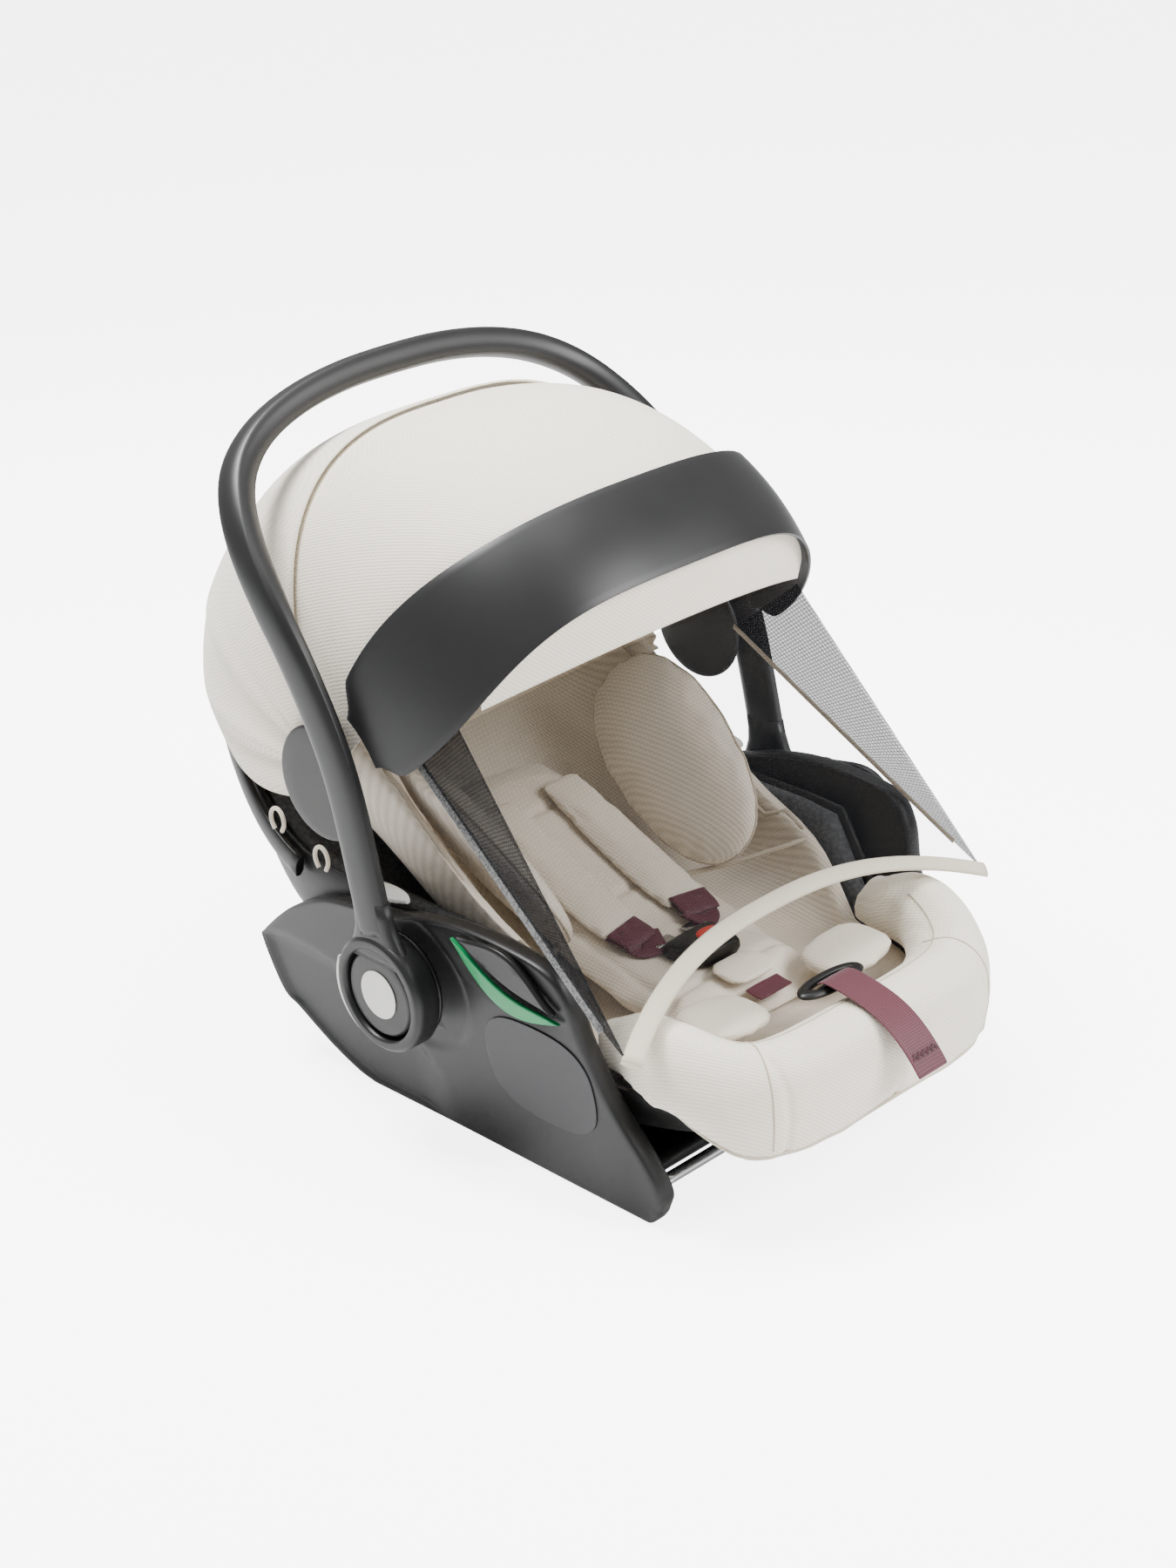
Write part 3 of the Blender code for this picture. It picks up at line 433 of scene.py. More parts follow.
def side_panel(side, hand):
    line = [Vector((q[0], max(0.0, q[1]))) for q in smooth_run([(a, b, 0) for a, b in PANEL_KNOTS], 10)]
    line += [Vector((y, 0.0)) for y in np.linspace(0.078, -0.228, 50)] + [Vector((-0.232, 0.004))]
    core = Vector((-0.015, 0.098))
    rings = []
    for x, inset in ((0.0, 0.0024), (0.004, 0.0), (0.012, 0.0), (0.0150, 0.0008), (0.0164, 0.0022)):
        rings.append([(x, q + (core - q).normalized() * inset) for q in line])
    for share in np.linspace(0.97, 0.03, 48):
        ring = []
        for q in line:
            w = core + (q - core) * share
            ring.append((PANEL_THICK - panel_relief(w.x, w.y) * smooth((1 - share) / 0.06), w))
        rings.append(ring)
    count = len(line)
    points = [(side * (PANEL_IN + x - PANEL_LEAN * (1 - q.y / RIM_Z)), q.x, q.y) for ring in rings for x, q in ring]
    points.append((side * (PANEL_IN + PANEL_THICK - 0.001 - PANEL_LEAN * (1 - core.y / RIM_Z)), core.x, core.y))
    faces = ring_faces(len(rings), count)
    last = (len(rings) - 1) * count
    faces += [(last + i, last + (i + 1) % count, len(points) - 1) for i in range(count)]
    faces.append(tuple(range(count))[::-1])
    mesh = outward_mesh("panel", points, faces)
    return new_piece("side_panel_" + hand, mesh, PANEL, "seat", ["side_runner_" + hand])


for side, hand in HANDS:
    side_panel(side, hand)

# %% [markdown]
# Each handle blade widens into its round boss through a short web, so that the load spreads over
# the ring. The web is lofted from the blade's own section to the ring's width.


# %% Handle webs
WEB_SIDES = 28
WEB_X = 0.2212
WEB_RINGS = ((0.212, 0.0075, 0.0183, 0.0072), (0.200, 0.0055, 0.0190, 0.0072), (0.188, 0.0035, 0.0215, 0.0070),
             (0.178, 0.0020, 0.0262, 0.0068), (0.168, 0.0010, 0.0325, 0.0066), (0.1605, 0.0004, 0.0385, 0.0064))


def handle_web(side, hand):
    """Its rings are (height, place along Y, half width, half depth)."""
    points = []
    for z, centre, half, deep in WEB_RINGS:
        for i in range(WEB_SIDES):
            a = TURN * (i + 0.5) / WEB_SIDES
            sag = 0.0 if z > 0.17 else 0.010 * (1 - abs(math.cos(a))) * smooth((0.17 - z) / 0.02)
            points.append((side * (WEB_X + deep * spow(math.sin(a), 2 / 3.4)),
                           centre + half * spow(math.cos(a), 2 / 3.4), z + 0.4 * sag))
    faces = ring_faces(len(WEB_RINGS), WEB_SIDES) + end_caps(len(WEB_RINGS), WEB_SIDES)
    return new_piece("handle_web_" + hand, outward_mesh("web", points, faces), GRAPHITE, "handle", [])


for side, hand in HANDS:
    handle_web(side, hand)

# %% [markdown]
# The hood is cut from flat cloth but hangs on a frame, so each of its parts is one continuous
# curved sheet. The solid's own rule is repeated here on a much finer grid: an angle round the
# pivot, and a second angle from left to right across the seat. On that grid the cloth can be
# pleated, creased and sewn. Each sheet is unrolled, so the weave keeps its real size.

# %% Hood shape
PIVOT = Vector((0.0, 0.070, 0.285))
REACH, HALF_WIDTH, ARCH = 0.250, 0.202, 2.9
REAR, BOW, VISOR_REAR, VISOR_FRONT = 11.0, 74.0, 123.0, 141.0


def hood_point(phi, theta, lift=0.0):
    bulge = 0.0
    if REAR < phi < BOW:
        bulge = 0.004 * math.sin(math.pi * (phi - REAR) / (BOW - REAR))
    reach = REACH + 0.029 * smooth((45 - phi) / 35) + bulge + lift
    half = HALF_WIDTH - 0.012 * smooth((50 - phi) / 40) + 0.2 * bulge + lift
    radius = reach * abs(math.sin(theta)) ** (2 / ARCH)
    a = math.radians(phi)
    return Vector((-half * spow(math.cos(theta), 2 / ARCH), PIVOT.y + radius * math.cos(a),
                   PIVOT.z + radius * math.sin(a)))


def across_steps(count, low):
    return [low + (math.pi - 2 * low) * (0.5 - 0.5 * math.cos(math.pi * k / (count - 1))) for k in range(count)]


def grid_mesh(name, rows):
    """A sheet through rows of points, with a UV map in metres along its rows and columns."""
    rows = np.array([[tuple(p) for p in row] for row in rows])
    tall, wide = rows.shape[:2]
    mesh = bpy.data.meshes.new(name)
    faces = [(r * wide + c, r * wide + c + 1, (r + 1) * wide + c + 1, (r + 1) * wide + c)
             for r in range(tall - 1) for c in range(wide - 1)]
    mesh.from_pydata([tuple(p) for p in rows.reshape(-1, 3)], [], faces)
    steps = np.linalg.norm(np.diff(rows, axis=1), axis=2)
    u = np.concatenate([np.zeros((tall, 1)), np.cumsum(steps, axis=1)], axis=1)
    u -= u[:, -1:] / 2
    steps = np.linalg.norm(np.diff(rows, axis=0), axis=2).mean(axis=1)
    v = np.concatenate([[0.0], np.cumsum(steps)])
    layer = mesh.uv_layers.new(name="cut")
    for loop in mesh.loops:
        r, c = divmod(loop.vertex_index, wide)
        layer.data[loop.index].uv = (u[r, c], v[r])
    for polygon in mesh.polygons:
        polygon.use_smooth = True
    return mesh


# %% [markdown]
# Cloth is thin but not a film, so each sheet gets its 1.6 mm thickness from Solidify, inwards.
# Its UV map carries the size of the flat cut, which is measured on the mesh itself.


# %% Sheet helper
CLOTH_THICK, NET_THICK = 0.0016, 0.0005
HOOD_MIDDLE = Vector((0, 0.03, 0.2))


def sheet_piece(name, rows, material, body, stands_for, thick=CLOTH_THICK):
    mesh = grid_mesh(name, rows)
    middle = mesh.polygons[len(mesh.polygons) // 2]
    if middle.normal.dot(middle.center - HOOD_MIDDLE) < 0:
        mesh.flip_normals()
    obj = new_piece(name, mesh, material, body, stands_for)
    body_of_cloth = obj.modifiers.new("thickness", "SOLIDIFY")
    body_of_cloth.thickness = thick
    body_of_cloth.offset = -1.0
    return obj


# %% [markdown]
# The rear dome is gathered where it turns down behind each pivot, so soft pleats run from the
# pivot to the head rim and die out over the top. The folded edge in front, over the steel bow,
# lifts a little. The front dome dives under it, which makes the soft crease between the two.

# %% Rear dome
def skirt(theta):
    return REAR + 3.0 - 61.0 * (1 - math.sin(theta) ** (2 / ARCH))


def rear_row(s, thetas):
    row = []
    for theta in thetas:
        low = skirt(theta)
        phi = low + (BOW - 0.4 - low) * s
        side = abs(math.cos(theta))
        gather = smooth((side - 0.52) / 0.35) * smooth((52 - phi) / 40) * smooth((s + 0.02) / 0.10)
        fan = math.sin(math.radians(phi) * 17 + 1.3 * side) + 0.4 * math.sin(math.radians(phi) * 31 + 2.0)
        drag = 0.0011 * math.sin(9 * theta + 0.08 * phi) * smooth((40 - phi) / 30)
        edge = 0.0012 * smooth((phi - 69) / 4)
        row.append(hood_point(phi, theta, 0.0026 * gather * fan + drag + edge - 0.0004))
    return row


SPREAD = across_steps(110, 0.055)
sheet_piece("hood_rear_dome", [rear_row(s, SPREAD) for s in np.linspace(0, 1, 64)], CREAM, "seat",
            ["canopy_rear"])

# %% Front dome
def front_row(phi, thetas):
    row = []
    for theta in thetas:
        slack = 0.0008 * math.sin(7 * theta + 0.5) * math.sin(math.radians(phi - BOW) * 4)
        row.append(hood_point(phi, theta, -0.0038 + slack))
    return row


sheet_piece("hood_front_dome", [front_row(phi, SPREAD) for phi in np.linspace(BOW - 2, 131, 56)],
            CREAM, "bow", ["canopy_front"])

# %% [markdown]
# The visor is a thin moulded band that bends over the hood, with a rounded flap at each side. It
# is drawn as its own fine grid, thickened, with a small bevel round its edge to catch the light.

# %% Visor band
def visor_back(theta):
    return VISOR_REAR - 17.0 * (1 - math.sin(theta)) ** 1.3


def visor_edge(theta):
    return VISOR_FRONT + 33.0 * (1 - math.sin(theta)) ** 1.6


def visor_row(s, thetas):
    row = []
    for theta in thetas:
        a, b = visor_back(theta), visor_edge(theta)
        end = smooth((min(theta, math.pi - theta) - 0.16) / 0.10)
        middle = (a + b) / 2
        phi = middle + (s - 0.5) * (b - a) * (0.62 + 0.38 * end)
        row.append(hood_point(phi, theta, 0.0075 + 0.0006 * math.sin(math.pi * s)))
    return row


visor_mesh = grid_mesh("visor", [visor_row(s, across_steps(96, 0.16)) for s in np.linspace(0, 1, 14)])
middle = visor_mesh.polygons[len(visor_mesh.polygons) // 2]
if middle.normal.dot(middle.center - HOOD_MIDDLE) < 0:
    visor_mesh.flip_normals()
visor = new_piece("visor_moulding", visor_mesh, GRAPHITE, "visor", ["visor_band"])
wall = visor.modifiers.new("wall", "SOLIDIFY")
wall.thickness, wall.offset = 0.0024, -1.0
edge = visor.modifiers.new("edge", "BEVEL")
edge.width, edge.segments, edge.limit_method, edge.angle_limit = 0.0007, 2, "ANGLE", math.radians(50)

# %% [markdown]
# Ahead of the visor a strip of hood cloth ends in a straight hem. Below it hangs the net, held by
# a tape down each side and a bound edge that arches over the child's legs.

# %% Front strip
HEM = Vector((0.1955, -0.064, 0.362))
FOOT = Vector((0.201, -0.240, 0.156))
TAPE_TOP = Vector((0.184, -0.004, 0.314))
TAPE_FOOT = Vector((0.199, -0.214, 0.172))
STRIP_END, STRIP_HALF = 0.66, 0.1712


def hem_point(x):
    rise = 1 - (abs(x) / HEM.x) ** 2
    return Vector((x, HEM.y - 0.058 * rise, HEM.z + 0.040 * rise))


def foot_point(x):
    rise = 1 - (abs(x) / HEM.x) ** 2.4
    return Vector((x * FOOT.x / HEM.x, FOOT.y + 0.046 * rise, FOOT.z + 0.036 * rise))


def strip_row(t, thetas):
    row = []
    for theta in thetas:
        top = hood_point(visor_edge(theta) - 2.2, theta, 0.0030)
        hem = hem_point(-STRIP_HALF * math.cos((theta - STRIP_END) * math.pi / (math.pi - 2 * STRIP_END)))
        row.append(top.lerp(hem, t))
    return row


STRIP_STEPS = np.linspace(STRIP_END, math.pi - STRIP_END, 96)
sheet_piece("hood_front_strip", [strip_row(t, STRIP_STEPS) for t in np.linspace(0, 1, 22)], CREAM,
            "visor", ["canopy_front_strip"])

# %% [markdown]
# A tube, a tape and a piping are all one idea: a section carried along a line. The helper below
# lays a flat or round section on a smooth run of points, facing a given way at each of them.


# %% Runs: tapes, pipings and bindings
def run_mesh(name, path, wide, deep, facing, sides=12, power=2.6, closed=False):
    """Half sizes `wide` across the run and `deep` along `facing`, each a number or one for each point."""
    count = len(path)
    points = []
    for k, q in enumerate(path):
        ahead = path[(k + 1) % count] if closed else path[min(k + 1, count - 1)]
        behind = path[(k - 1) % count] if closed else path[max(k - 1, 0)]
        run = (ahead - behind).normalized()
        up = Vector(facing[k] if isinstance(facing, list) else facing)
        up = (up - run * up.dot(run)).normalized()
        across = run.cross(up) * (wide[k] if isinstance(wide, list) else wide)
        rise = up * (deep[k] if isinstance(deep, list) else deep)
        for i in range(sides):
            a = TURN * (i + 0.5) / sides
            points.append(tuple(q + across * spow(math.cos(a), 2 / power) + rise * spow(math.sin(a), 2 / power)))
    caps = [] if closed else end_caps(count, sides)
    return outward_mesh(name, points, ring_faces(count, sides, closed) + caps)


# %% Veil
def veil_rows(spans, across):
    rows = []
    for s in range(spans + 1):
        t = s / spans
        sag = 0.0030 * math.sin(math.pi * t)
        row = []
        for k in range(across + 1):
            x = HEM.x * (-1 + 2 * k / across)
            q = hem_point(x).lerp(foot_point(x), t)
            q.x *= 0.945 + 0.055 * t
            q += Vector((0, 0.4 * sag, -sag - 0.0022))
            row.append(q)
        rows.append(row)
    return rows


def side_net_rows(side, spans, across):
    rows = []
    for s in range(spans + 1):
        t = s / spans
        narrow = 0.945 + 0.055 * t
        tape = TAPE_TOP.lerp(TAPE_FOOT, t)
        corner = HEM.lerp(FOOT, t)
        row = []
        for k in range(across + 1):
            q = tape.lerp(corner, k / across)
            row.append(Vector((side * q.x * narrow, q.y - 0.0012, q.z - 0.0022)))
        rows.append(row)
    return rows


sheet_piece("veil_net_front", veil_rows(30, 60), NET, "visor", ["veil_net"],
            thick=NET_THICK)
for side, hand in HANDS:
    sheet_piece("veil_net_return_" + hand, side_net_rows(side, 24, 8), NET_SIDE, "visor", [],
                thick=NET_THICK)
    path = [Vector((side * q.x * (0.945 + 0.055 * t), q.y, q.z - 0.002))
            for t, q in ((k / 24, TAPE_TOP.lerp(TAPE_FOOT, k / 24)) for k in range(25))]
    tape = run_mesh("veil_tape", path, 0.0035, 0.0008, (side * 0.9, -0.3, 0.3), sides=8, power=5)
    new_piece("veil_tape_" + hand, tape, MELANGE if side < 0 else SEAM, "visor", [])
foot_run = [foot_point(HEM.x * (-1 + 2 * k / 60)) + Vector((0, -0.0040, -0.0026)) for k in range(61)]
binding = run_mesh("binding", foot_run, 0.0080, 0.0026, (0, -0.35, 0.94), sides=14, power=2.6)
binding = new_piece("veil_foot_binding", binding, CREAM_SEAM, "visor", ["veil_binding"])
print("hood and veil done")

# %% [markdown]
# A stuffed piece swells where it is free and pulls in at its seams. Each one starts from its plain
# solid, made a little smaller, then remeshed to even cells so that it can stretch. Blender's Cloth
# blows it up from inside with gravity off. How far a point may move is capped, the result is kept
# as a plain mesh, and one subdivision smooths it. Sewn channels are pressed in afterwards, because
# a remesh would wipe them out.


# %% Stuffed pieces
def apply_modifiers(obj):
    graph = bpy.context.evaluated_depsgraph_get()
    graph.update()
    mesh = bpy.data.meshes.new_from_object(obj.evaluated_get(graph))
    old = obj.data
    obj.modifiers.clear()
    obj.data = mesh
    bpy.data.meshes.remove(old)


def points_of(mesh):
    co = np.zeros(len(mesh.vertices) * 3)
    mesh.vertices.foreach_get("co", co)
    return co.reshape(-1, 3)


def normals_of(mesh):
    no = np.zeros(len(mesh.vertices) * 3)
    mesh.vertices.foreach_get("normal", no)
    return no.reshape(-1, 3)


SWELL_FRAMES = 20


def stuffed(name, node, material, voxel=0.005, shrink=0.0015, pressure=4.0, cap=0.006, channels=None,
            grow=(1.0, 1.0, 1.0)):
    mesh = welded_copy(node)
    obj = bpy.data.objects.new(name, mesh)
    bpy.context.scene.collection.objects.link(obj)
    co = points_of(mesh)
    middle = (co.min(axis=0) + co.max(axis=0)) / 2
    co = middle + (co - middle) * np.array(grow)
    mesh.vertices.foreach_set("co", (co - normals_of(mesh) * shrink).ravel())
    remesh = obj.modifiers.new("cells", "REMESH")
    remesh.mode, remesh.voxel_size, remesh.use_smooth_shade = "VOXEL", voxel, True
    apply_modifiers(obj)
    relax = obj.modifiers.new("relax", "SMOOTH")
    relax.factor, relax.iterations = 0.5, 6
    apply_modifiers(obj)
    start = points_of(obj.data)
    cloth = obj.modifiers.new("swell", "CLOTH")
    cloth.settings.quality = 4
    cloth.settings.use_pressure = True
    cloth.settings.uniform_pressure_force = pressure
    cloth.settings.effector_weights.gravity = 0.0
    cloth.settings.mass = 0.25
    for frame_number in range(1, SWELL_FRAMES + 1):
        bpy.context.scene.frame_set(frame_number)
    apply_modifiers(obj)
    bpy.context.scene.frame_set(1)
    moved = points_of(obj.data) - start
    far = np.linalg.norm(moved, axis=1, keepdims=True)
    moved *= np.minimum(1.0, cap / np.maximum(far, 1e-9))
    obj.data.vertices.foreach_set("co", (start + moved).ravel())
    fine = obj.modifiers.new("fine", "SUBSURF")
    fine.levels = fine.render_levels = 1
    apply_modifiers(obj)
    if channels:
        co, no = points_of(obj.data), normals_of(obj.data)
        obj.data.vertices.foreach_set("co", (co - no * channels(co, no)[:, None]).ravel())
    obj.data.materials.clear()
    obj.data.materials.append(material)
    for polygon in obj.data.polygons:
        polygon.use_smooth = True
    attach(obj, "seat")
    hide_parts(node)
    low, high = points_of(obj.data).min(axis=0), points_of(obj.data).max(axis=0)
    print(name, "size", np.round(high - low, 3))
    return obj


def valley(distance, width, depth):
    return depth * np.exp(-(distance / width) ** 2)


# %% [markdown]
# The newborn insert is quilted with three cross seams. The shoulder pads are flat sleeves. The
# two side pillows are egg-shaped with a seam round their edge. Leg lobes and crotch pad are small
# stuffed patches of the same beige jersey.

# %% Seat padding
def insert_channels(co, no):
    up = np.clip(no[:, 2], 0, 1)
    depth = sum(valley(co[:, 1] - y, 0.0035, 0.0030) for y in (-0.150, -0.035, 0.060))
    depth = depth + valley(np.abs(co[:, 0]) - 0.062, 0.0035, 0.0022) * (co[:, 1] > -0.14)
    return depth * up


stuffed("newborn_insert_cushion", "newborn_insert", BEIGE, channels=insert_channels)
for side in SIDES:
    stuffed("wing_pillow_" + side, "wing_pad_" + side, BEIGE, shrink=0.002, cap=0.007)
    stuffed("shoulder_sleeve_" + side, "shoulder_pad_" + side, BEIGE, voxel=0.004, cap=0.003)
    stuffed("leg_lobe_" + side, "leg_pad_" + side, BEIGE, voxel=0.004, cap=0.004,
            grow=(1.30, 1.25, 1.0))
stuffed("crotch_pad_cushion", "crotch_pad", BEIGE, voxel=0.004, cap=0.003, grow=(1.1, 1.3, 1.0))


# %% Foot bolster
def bolster_channels(co, no):
    front = np.clip(-no[:, 1], 0, 1)
    depth = sum(valley(co[:, 0] - x, 0.0028, 0.0022) for x in (-0.112, 0.0, 0.112))
    inner = valley(co[:, 2] - 0.118, 0.003, 0.0012) * np.clip(no[:, 1], 0, 1)
    return depth * (0.25 + 0.75 * front) * (co[:, 1] < -0.2) + inner


stuffed("foot_bolster_cushion", "foot_bolster", CREAM, voxel=0.005, shrink=0.001, cap=0.004,
        channels=bolster_channels)

# %% [markdown]
# Every stuffed piece is closed by a seam, and the thread pulls a fine dark line into the cloth.
# A seam is found on the finished surface itself: rays leave the middle of the piece, and the
# places where they come out are joined by a thin run of the binding cloth.


# %% Seams
def seam_on(name, obj, centres, directions, radius, material, closed=False, lift=0.0):
    mesh = obj.data
    tree = BVHTree.FromPolygons([v.co for v in mesh.vertices], [tuple(p.vertices) for p in mesh.polygons])
    path, facing = [], []
    for centre, direction in zip(centres, directions):
        place, normal = tree.ray_cast(Vector(centre), Vector(direction).normalized())[:2]
        if place is not None:
            path.append(place + normal * lift)
            facing.append(normal)
    if not closed:
        path, facing = smooth_run(path[::4] + [path[-1]], 4), smooth_run(facing[::4] + [facing[-1]], 4)
    made = run_mesh(name, path, radius, radius, facing, sides=8, power=2.0, closed=closed)
    return new_piece(name, made, material, "seat", [])


for side, hand in HANDS:
    core = Vector((side * 0.108, 0.004, 0.212))
    along, across = Vector((side * -0.012, -0.084, -0.060)), Vector((side * 0.030, -0.030, 0.040))
    ways = [along * math.cos(a) + across * math.sin(a) for a in np.linspace(0, TURN, 72, endpoint=False)]
    pillow = bpy.data.objects["wing_pillow_" + hand]
    seam_on("wing_seam_" + hand, pillow, [core] * len(ways), ways, 0.0011, SEAM, True, 0.0003)


SHELL_HALF_WIDTH, SHELL_MID_Y = 0.178, 0.05
HEAD_LENGTH, FOOT_LENGTH, HEAD_CORNER, FOOT_CORNER = 0.295, 0.345, 2.7, 4.2


def plan_point(angle, inset):
    """The bucket's outline from above: rounder at the head end, squarer at the feet."""
    s, c = math.sin(angle), math.cos(angle)
    length, corner = (HEAD_LENGTH, HEAD_CORNER) if s > 0 else (FOOT_LENGTH, FOOT_CORNER)
    return ((SHELL_HALF_WIDTH - inset) * spow(c, 2 / corner),
            SHELL_MID_Y + (length - inset) * spow(s, 2 / corner))


bolster = bpy.data.objects["foot_bolster_cushion"]


BOLSTER_CORE_Z, CORE_INSET, NUDGE = 0.122, 0.002, 0.01


def bolster_ray(angle, turn):
    """A ray from the bolster's core line, turned up from level, square to the line."""
    x, y = plan_point(angle, CORE_INSET)
    ahead, behind = plan_point(angle + NUDGE, CORE_INSET), plan_point(angle - NUDGE, CORE_INSET)
    out = Vector((ahead[1] - behind[1], behind[0] - ahead[0], 0)).normalized()
    return Vector((x, y, BOLSTER_CORE_Z)), out * math.cos(turn) + Vector((0, 0, 1)) * math.sin(turn)


for n, degrees in enumerate((248.0, 292.0)):
    rays = [bolster_ray(math.radians(degrees), math.radians(t)) for t in np.linspace(-62, 150, 60)]
    seam_on("bolster_cross_seam_%d" % (n + 1), bolster, [r[0] for r in rays], [r[1] for r in rays], 0.0007, SEAM)
for name, turn, radius in (("bolster_lower_piping", -66, 0.0016), ("bolster_inner_seam", 128, 0.0008)):
    rays = [bolster_ray(math.radians(a), math.radians(turn)) for a in np.linspace(222, 318, 110)]
    seam_on(name, bolster, [r[0] for r in rays], [r[1] for r in rays], radius, CREAM_SEAM if turn < 0 else SEAM)

# %% [markdown]
# The seat cover is a shaped foam-backed shell that lines the bucket. It stays a smooth copy of its
# solid: thin walls don't swell, they follow the hard liner behind them.

# %% Seat cover
cover = new_piece("seat_cover_lining", welded_copy("seat_cover", 60), BEIGE, "seat", ["seat_cover"])
fine = cover.modifiers.new("fine", "SUBSURF")
fine.levels = fine.render_levels = 2


PIPING_LIFT = 0.0006
surface = bpy.data.meshes.new_from_object(cover.evaluated_get(bpy.context.evaluated_depsgraph_get()))
spots = points_of(surface)
turn = np.arctan2(spots[:, 1] - SHELL_MID_Y, spots[:, 0])
crest = []
for angle in np.linspace(-1.06, math.pi + 1.06, 150):
    near = spots[np.abs((turn - angle + math.pi) % TURN - math.pi) < 0.035]
    crest.append(near[near[:, 2] > near[:, 2].max() - 0.002].mean(axis=0))
crest = np.array(crest)
crest = np.array([crest[max(0, k - 3):k + 4].mean(axis=0) for k in range(len(crest))])
rim = [Vector(q) + Vector((0, 0, PIPING_LIFT)) for q in crest]
piping = run_mesh("piping", rim, 0.0021, 0.0021, (0, 0, 1), sides=10, power=2.0)
new_piece("seat_cover_piping", piping, SEAM, "seat", [])

# %% [markdown]
# Webbing comes off a reel as a flat band and keeps its width, so it is modelled directly. Each
# shoulder band lies double above its tongue, and zigzag stitching holds the fold. The same
# stitching closes the end of the pull strap.

# %% Webbing and buckle
for node, slot in (("crotch_strap", "plum_webbing"), ("adjuster_strap", "plum_webbing")):
    moulded(node, PLUM, levels=2, crease_from=40)
for side, hand in HANDS:
    low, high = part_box("shoulder_strap_" + hand)
    tongue_low, tongue_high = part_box("buckle_tongue_" + hand)
    top, foot = Vector((side * 0.036, high.y, high.z)), Vector((side * 0.034, low.y, low.z))
    tongue = Vector((side * 0.018, (tongue_low.y + tongue_high.y) / 2, tongue_high.z))
    run = (foot - top).normalized()
    out = Vector((0, run.z, -run.y)).normalized()
    out = out if out.z > 0 else -out
    long_way = (top - run * 0.010 + out * 0.0018, top.lerp(foot, 0.5) + out * 0.0032, foot + out * 0.0024,
                tongue + out * 0.0012)
    short_way = (top - run * 0.010 + out * 0.0050, top.lerp(foot, 0.5) + out * 0.0064, foot + out * 0.0052)
    for layer, (way, half, narrow) in enumerate(((long_way, 0.0190, 0.35), (short_way, 0.0182, 0.05))):
        path = smooth_run(way, 12)
        wide = [half * (1 - narrow * k / (len(path) - 1)) for k in range(len(path))]
        made = run_mesh("webbing", path, wide, 0.0011, tuple(out), sides=12, power=5)
        new_piece("shoulder_webbing_%s_%d" % (hand, layer + 1), made, PLUM, "seat",
                  ["shoulder_strap_" + hand] if layer == 0 else [])
    stitches = [foot - run * (0.004 + 0.003 * k) + out * 0.0066 + Vector((side * 0.011 * (-1) ** k, 0, 0))
                for k in range(5)]
    stitching = run_mesh("stitch", smooth_run(stitches, 4), 0.0005, 0.0005, tuple(out), sides=6, power=2)
    new_piece("shoulder_stitching_" + hand, stitching, THREAD, "seat", [])
hem_top, hem_end = Vector((0, -0.338, 0.121)), Vector((0, -0.350, 0.107))
out = Vector((0, -0.76, 0.65))
zigzag = [hem_top.lerp(hem_end, 0.55 + 0.14 * (-1) ** k) + out * 0.0021 + Vector((-0.013 + 0.0026 * k, 0, 0))
          for k in range(11)]
stitching = run_mesh("stitch", smooth_run(zigzag, 3), 0.0005, 0.0005, tuple(out), sides=6, power=2)
new_piece("pull_strap_stitching", stitching, THREAD, "seat", [])
moulded("buckle_body", SOFT_BLACK, levels=2, crease_from=75)
moulded("buckle_button", RED, levels=2, crease_from=75)
for side in SIDES:
    for n in (1, 2):
        moulded("hood_loop_%s_%d" % (side, n), CREAM_SEAM, levels=2, crease_from=75)

# %% [markdown]
# The floor is pale and plain. A soft panel overhead and behind gives the long highlight on the
# handle and models the hood, a second one in front opens up the padding, and the world is white.

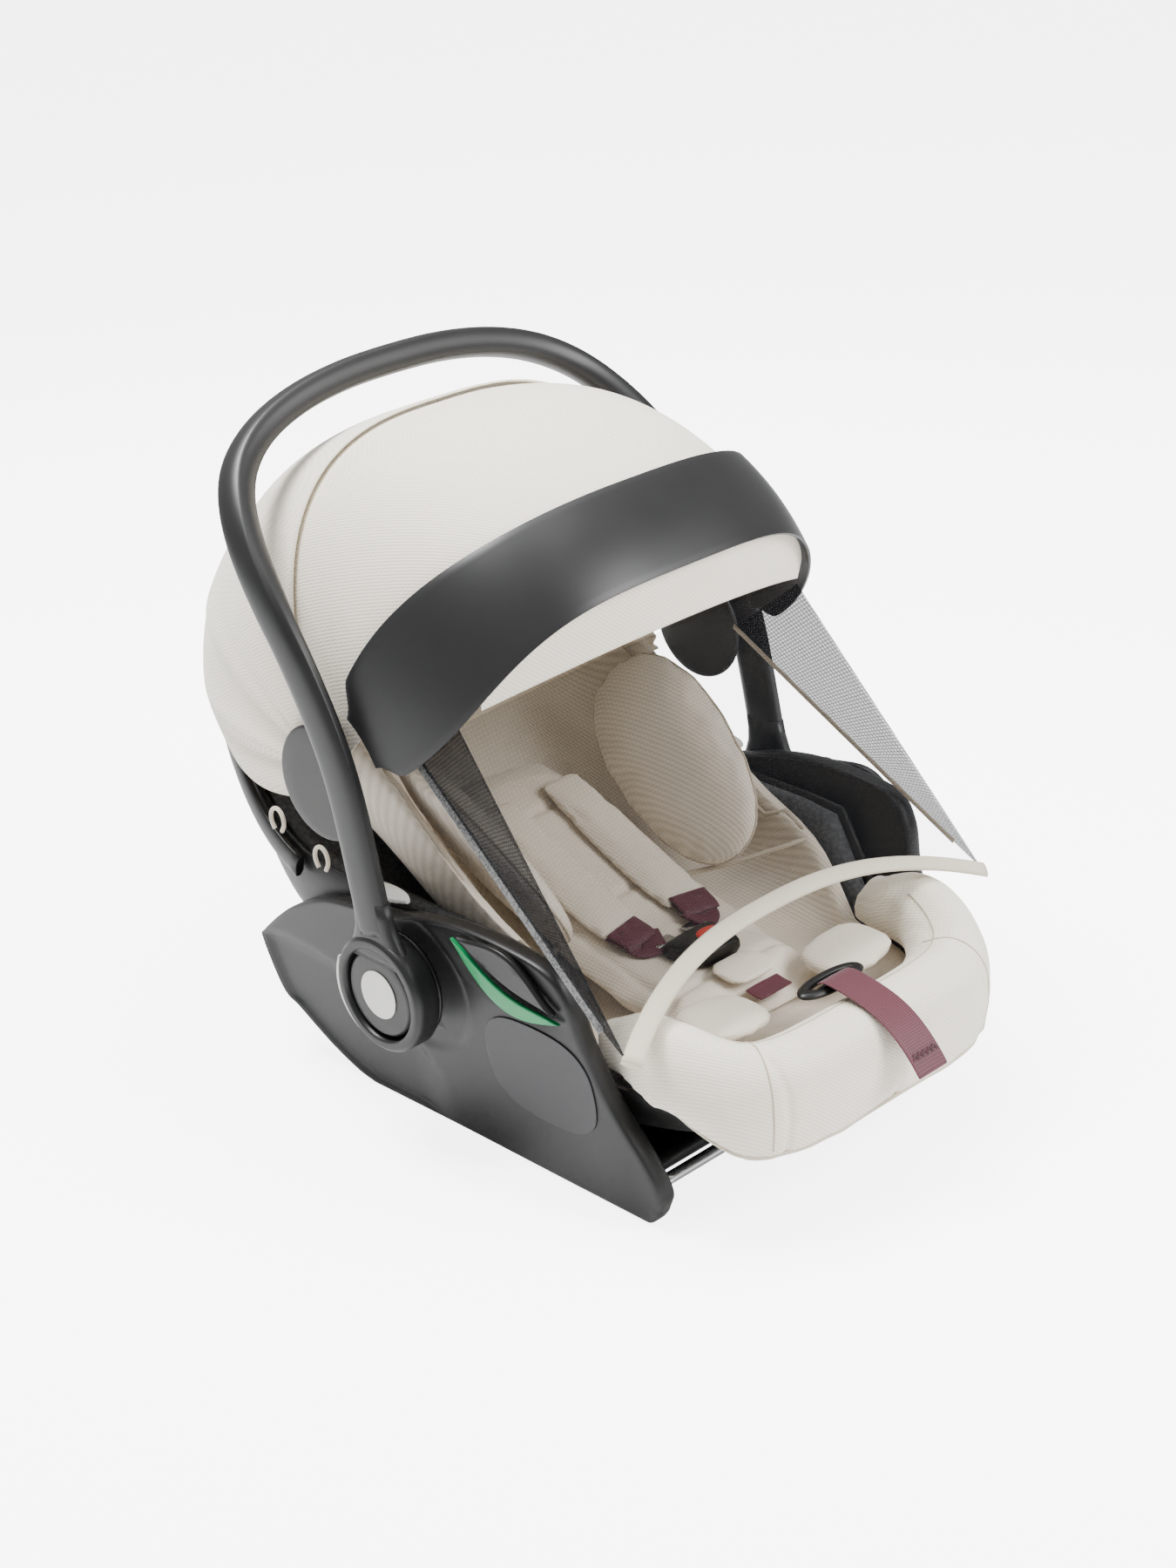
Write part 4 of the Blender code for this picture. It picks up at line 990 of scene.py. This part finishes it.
# %% Floor, light and camera
floor_mesh = bpy.data.meshes.new("floor")
floor_mesh.from_pydata([(-6, -6, 0), (6, -6, 0), (6, 9, 0), (-6, 9, 0)], [], [(0, 1, 2, 3)])
FLOOR, tree, shader = start_finish("painted_studio_floor", 0.9)
shader.inputs["Base Color"].default_value = linear("#fdfdfd")
shader.inputs["Emission Color"].default_value = (1.0, 1.0, 1.0, 1.0)
seen = add_node(tree, "ShaderNodeLightPath").outputs["Is Camera Ray"]
glow = add_node(tree, "ShaderNodeMath", {1: 4.8, 2: 0.12}, [(0, seen)], operation="MULTIPLY_ADD").outputs[0]
tree.links.new(glow, shader.inputs["Emission Strength"])
floor_mesh.materials.append(FLOOR)
floor = bpy.data.objects.new("studio_floor", floor_mesh)
floor.location.z = -0.0004
bpy.context.scene.collection.objects.link(floor)

world = bpy.data.worlds.new("studio")
world.use_nodes = True
world.node_tree.nodes["Background"].inputs["Color"].default_value = (1.0, 1.0, 1.0, 1.0)
world.node_tree.nodes["Background"].inputs["Strength"].default_value = 0.55
bpy.context.scene.world = world


def soft_panel(name, place, aim, size, power):
    light = bpy.data.lights.new(name, "AREA")
    light.shape, light.size, light.size_y, light.energy = "RECTANGLE", size[0], size[1], power
    obj = bpy.data.objects.new(name, light)
    obj.location = place
    obj.rotation_euler = (Vector(aim) - Vector(place)).to_track_quat("-Z", "Y").to_euler()
    bpy.context.scene.collection.objects.link(obj)
    return obj


soft_panel("key_panel", (-0.45, 0.8, 2.4), (0, 0, 0.2), (1.1, 0.8), 120)
soft_panel("front_panel", (0.8, -1.8, 1.6), (0, 0, 0.25), (1.2, 1.2), 75)
soft_panel("top_panel", (0.2, 0.3, 2.6), (0, 0, 0.2), (2.0, 2.0), 50)

AZIMUTH, ELEVATION, ROLL = math.radians(-43.34), math.radians(24.53), math.radians(-3.21)
back = Vector((math.sin(AZIMUTH) * math.cos(ELEVATION), -math.cos(AZIMUTH) * math.cos(ELEVATION),
               math.sin(ELEVATION)))
level = Vector((math.cos(AZIMUTH), math.sin(AZIMUTH), 0.0))
upright = back.cross(level)
right = level * math.cos(ROLL) + upright * math.sin(ROLL)
up = back.cross(right)
lens = bpy.data.cameras.new("studio_camera")
lens.sensor_width, lens.sensor_fit, lens.lens = 36.0, "HORIZONTAL", 84.67
camera = bpy.data.objects.new("studio_camera", lens)
camera.matrix_world = Matrix((
    (right.x, up.x, back.x, -1.3757), (right.y, up.y, back.y, -1.4609), (right.z, up.z, back.z, 1.1455),
    (0, 0, 0, 1)))
bpy.context.scene.collection.objects.link(camera)
bpy.context.scene.camera = camera
